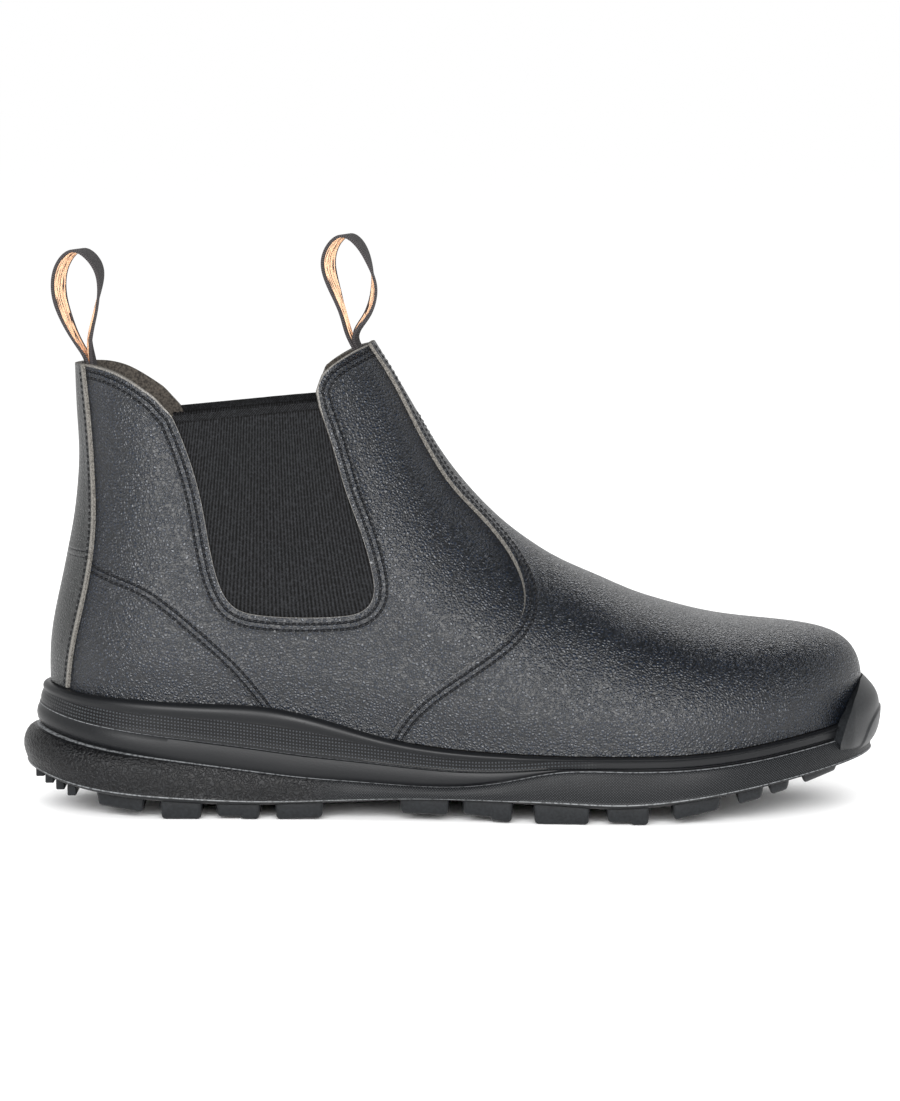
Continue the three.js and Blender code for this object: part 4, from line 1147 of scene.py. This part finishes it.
# Footbed: rings that close in on its middle line, each at its rise
footbedThick = 4.5
footbedRows = [(1.0, -3.0), (1.0, 0.0), (0.985, 0.6), (0.95, 0.7), (0.85, 0.35), (0.7, 0.1), (0.5, 0.0),
               (0.25, 0.0), (0.05, 0.0)]
rings = []
for share, rise in footbedRows:
    ring = soleRing(around[::4], lambda x: featherLine(x) + footbedThick, -2.4)
    middle = np.clip(ring[:, 0], 40, 240)
    ring = mix(np.stack([middle, centreLine(middle), ring[:, 2]], -1), ring, share)
    ring[:, 2] = featherLine(ring[:, 0]) + footbedThick + rise
    rings.append(ring)
points, faces = stackRings(rings, closeFirst=True, closeLast=True)
footbed = makePiece("footbed", points, faces)
footbed.data.materials.append(footbedCloth)
smoothFaces(footbed, 40)
print("boot: bumper and footbed made")

# Pull loops
loop = {"width": 15.0, "thick": 1.0, "height": 40.0}
# ahead, up, turn
rearRows = [(0.03, -0.42, 0.0), (0.015, -0.2, 0.0), (-0.01, 0.03, 0.0), (-0.1, 0.2, 0.06), (-0.2, 0.45, 0.18),
            (-0.245, 0.68, 0.22), (-0.2, 0.9, 0.22), (-0.07, 1.01, 0.2), (0.06, 0.93, 0.16), (0.12, 0.79, 0.07),
            (0.11, 0.62, -0.05), (0.07, 0.45, -0.11), (0.015, 0.22, -0.08), (0.025, 0.03, 0.0), (0.052, -0.2, 0.0),
            (0.068, -0.42, 0.0)]
frontRows = [(0.21, -0.42, 0.0), (0.077, -0.2, 0.0), (-0.05, 0.02, 0.0), (-0.12, 0.24, 0.07), (-0.22, 0.48, 0.22),
             (-0.265, 0.67, 0.27), (-0.22, 0.83, 0.25), (-0.11, 0.915, 0.22), (0.01, 0.84, 0.16),
             (0.1, 0.66, 0.04), (0.145, 0.44, -0.11), (0.09, 0.2, -0.09), (-0.005, 0.02, 0.0),
             (0.121, -0.2, 0.0), (0.255, -0.42, 0.0)]
frontEndX = collar["front"][-1][0] * length
frontSlope = float((topLine(peakX) - topLine(frontEndX)) / (peakX - frontEndX))
feet = {
    "rear": (float(backLine(last["collarBackHeight"])) + 2.8, last["collarBackHeight"]),
    "front": (peakX + float(last["collarHeight"] - topLine(peakX)) / frontSlope - 3.7, last["collarHeight"]),
}


def makeLoop(name, rows, foot, cup):
    table = [(foot[0] + ahead * loop["height"], foot[1] + up * loop["height"], turn) for ahead, up, turn in rows]
    path, turn = np.split(smooth(table, 150), [2], axis=1)
    t = unit(np.gradient(path, axis=0))
    outer = path + np.stack([-t[:, 1], t[:, 0]], -1) * loop["thick"] / 2
    ys = np.linspace(-0.5, 0.5, 11) * loop["width"]
    high = ramp((outer[:, 1] - foot[1]) / (0.6 * loop["height"]))
    points = [np.stack([outer[:, 0] + turn[:, 0] * y + cup * (1 - high) * y * y, np.full(len(path), y),
                        outer[:, 1]], -1) for y in ys]
    n = len(path)
    tape = makePiece(name, np.vstack(points), gridFaces(n, len(ys)))
    keep(tape, "across", np.repeat(ys, n))
    keep(tape, "upward", np.tile(distances(path), len(ys)))
    for material in (tapeOuter, tapeInner, tapeOuter):
        tape.data.materials.append(material)
    choose(tape)
    bpy.ops.object.mode_set(mode="EDIT")
    bpy.ops.mesh.select_all(action="SELECT")
    bpy.ops.mesh.normals_make_consistent(inside=False)
    bpy.ops.object.mode_set(mode="OBJECT")
    middle = tape.data.polygons[(len(ys) // 2) * (n - 1) + n // 2]
    if middle.normal.z < 0:
        tape.data.flip_normals()
    finishWith(tape, "SOLIDIFY", thickness=loop["thick"] / 1000, offset=-1, material_offset=1,
               material_offset_rim=2, use_even_offset=False)
    smoothFaces(tape, 50)
    return tape


rearLoop = makeLoop("rearLoop", rearRows, feet["rear"], 0.5 / (last["shaftWidth"] / 2 - 4))
frontLoop = makeLoop("frontLoop", frontRows, feet["front"], -0.5 / (last["shaftWidth"] / 3))
print("boot: pull loops made")

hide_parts("upper")
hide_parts("upper")
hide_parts("vamp")
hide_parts("backstay")
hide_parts("gore_lateral")
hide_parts("gore_medial")
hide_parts("midsole")
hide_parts("outsole")
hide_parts("outsole")
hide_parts("outsole")
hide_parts("insole")
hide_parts("pull_loop_rear")
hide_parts("pull_loop_front")

# Floor, light and camera
studio = {
    "floor": "#ffffff", "world": 1.0, "target": (0.07403, 0.0, 0.0907), "distance": 1.6, "elevation": 6.0,
    "lens": 147.1, "sensor": 36,
    "lights": [
        # name, place, aims at, size, power
        ("keySoftbox", (0.0, -1.5, 0.6), (0.07, 0, 0.06), (1.8, 0.7), 52.0),
        ("backSoftbox", (0.2, 1.3, 0.9), (0.07, 0, 0.06), (1.2, 0.5), 5.0),
    ],
    # black cards seen by gloss alone: name, place, aims at, size
    "flags": [
        ("topFlag", (0.1, 0.05, 1.0), (0.1, 0.05, 0), (2.6, 1.9)),
        ("frontFlag", (0.1, -2.5, 1.5), (0.1, 0, 1.5), (7.0, 2.9)),
        ("lowFlag", (0.1, -1.7, 0.003), (0.1, -1.7, -1), (7.0, 2.6)),
    ],
}


def turnTo(place, aim):
    return (Vector(aim) - Vector(place)).to_track_quat("-Z", "Y").to_euler()


bpy.ops.mesh.primitive_plane_add(size=60, location=(0, 0, 0))
floor = bpy.context.object
floor.name = "floor"
floorMaterial, tree = newMaterial("paintedFloor")
finishMaterial(tree, {"Base Color": linear(studio["floor"]), "Roughness": 0.9, "Specular IOR Level": 0.0}, {})
floor.data.materials.append(floorMaterial)
world = bpy.data.worlds.new("studio")
bpy.context.scene.world = world
world.use_nodes = True
world.node_tree.nodes.clear()
sky = addNode(world.node_tree, "Background", {"Color": (1, 1, 1, 1), "Strength": studio["world"]})
addNode(world.node_tree, "OutputWorld", links={"Surface": sky})
for name, place, aim, size, power in studio["lights"]:
    bpy.ops.object.light_add(type="AREA", location=place)
    light = bpy.context.object
    light.name = name
    light.data.shape = "RECTANGLE"
    light.data.size, light.data.size_y = size
    light.data.energy = power
    light.rotation_euler = turnTo(place, aim)
flagMaterial, tree = newMaterial("blackCard")
finishMaterial(tree, {"Base Color": (0, 0, 0, 1), "Roughness": 1.0, "Specular IOR Level": 0.0}, {})
for name, place, aim, size in studio["flags"]:
    bpy.ops.mesh.primitive_plane_add(size=1, location=place)
    flag = bpy.context.object
    flag.name = name
    flag.scale = (size[0], size[1], 1)
    flag.rotation_euler = turnTo(place, aim)
    flag.data.materials.append(flagMaterial)
    flag.visible_camera = flag.visible_diffuse = flag.visible_shadow = flag.visible_transmission = False
bpy.context.scene.view_settings.view_transform = "Standard"

lift = math.radians(studio["elevation"])
target = Vector(studio["target"])
spot = target + studio["distance"] * Vector((0, -math.cos(lift), math.sin(lift)))
bpy.ops.object.camera_add(location=spot, rotation=turnTo(spot, target))
camera = bpy.context.object
camera.data.sensor_fit = "VERTICAL"
camera.data.sensor_height = camera.data.sensor_width = studio["sensor"]
camera.data.lens = studio["lens"]
bpy.context.scene.camera = camera
print("boot: studio set")
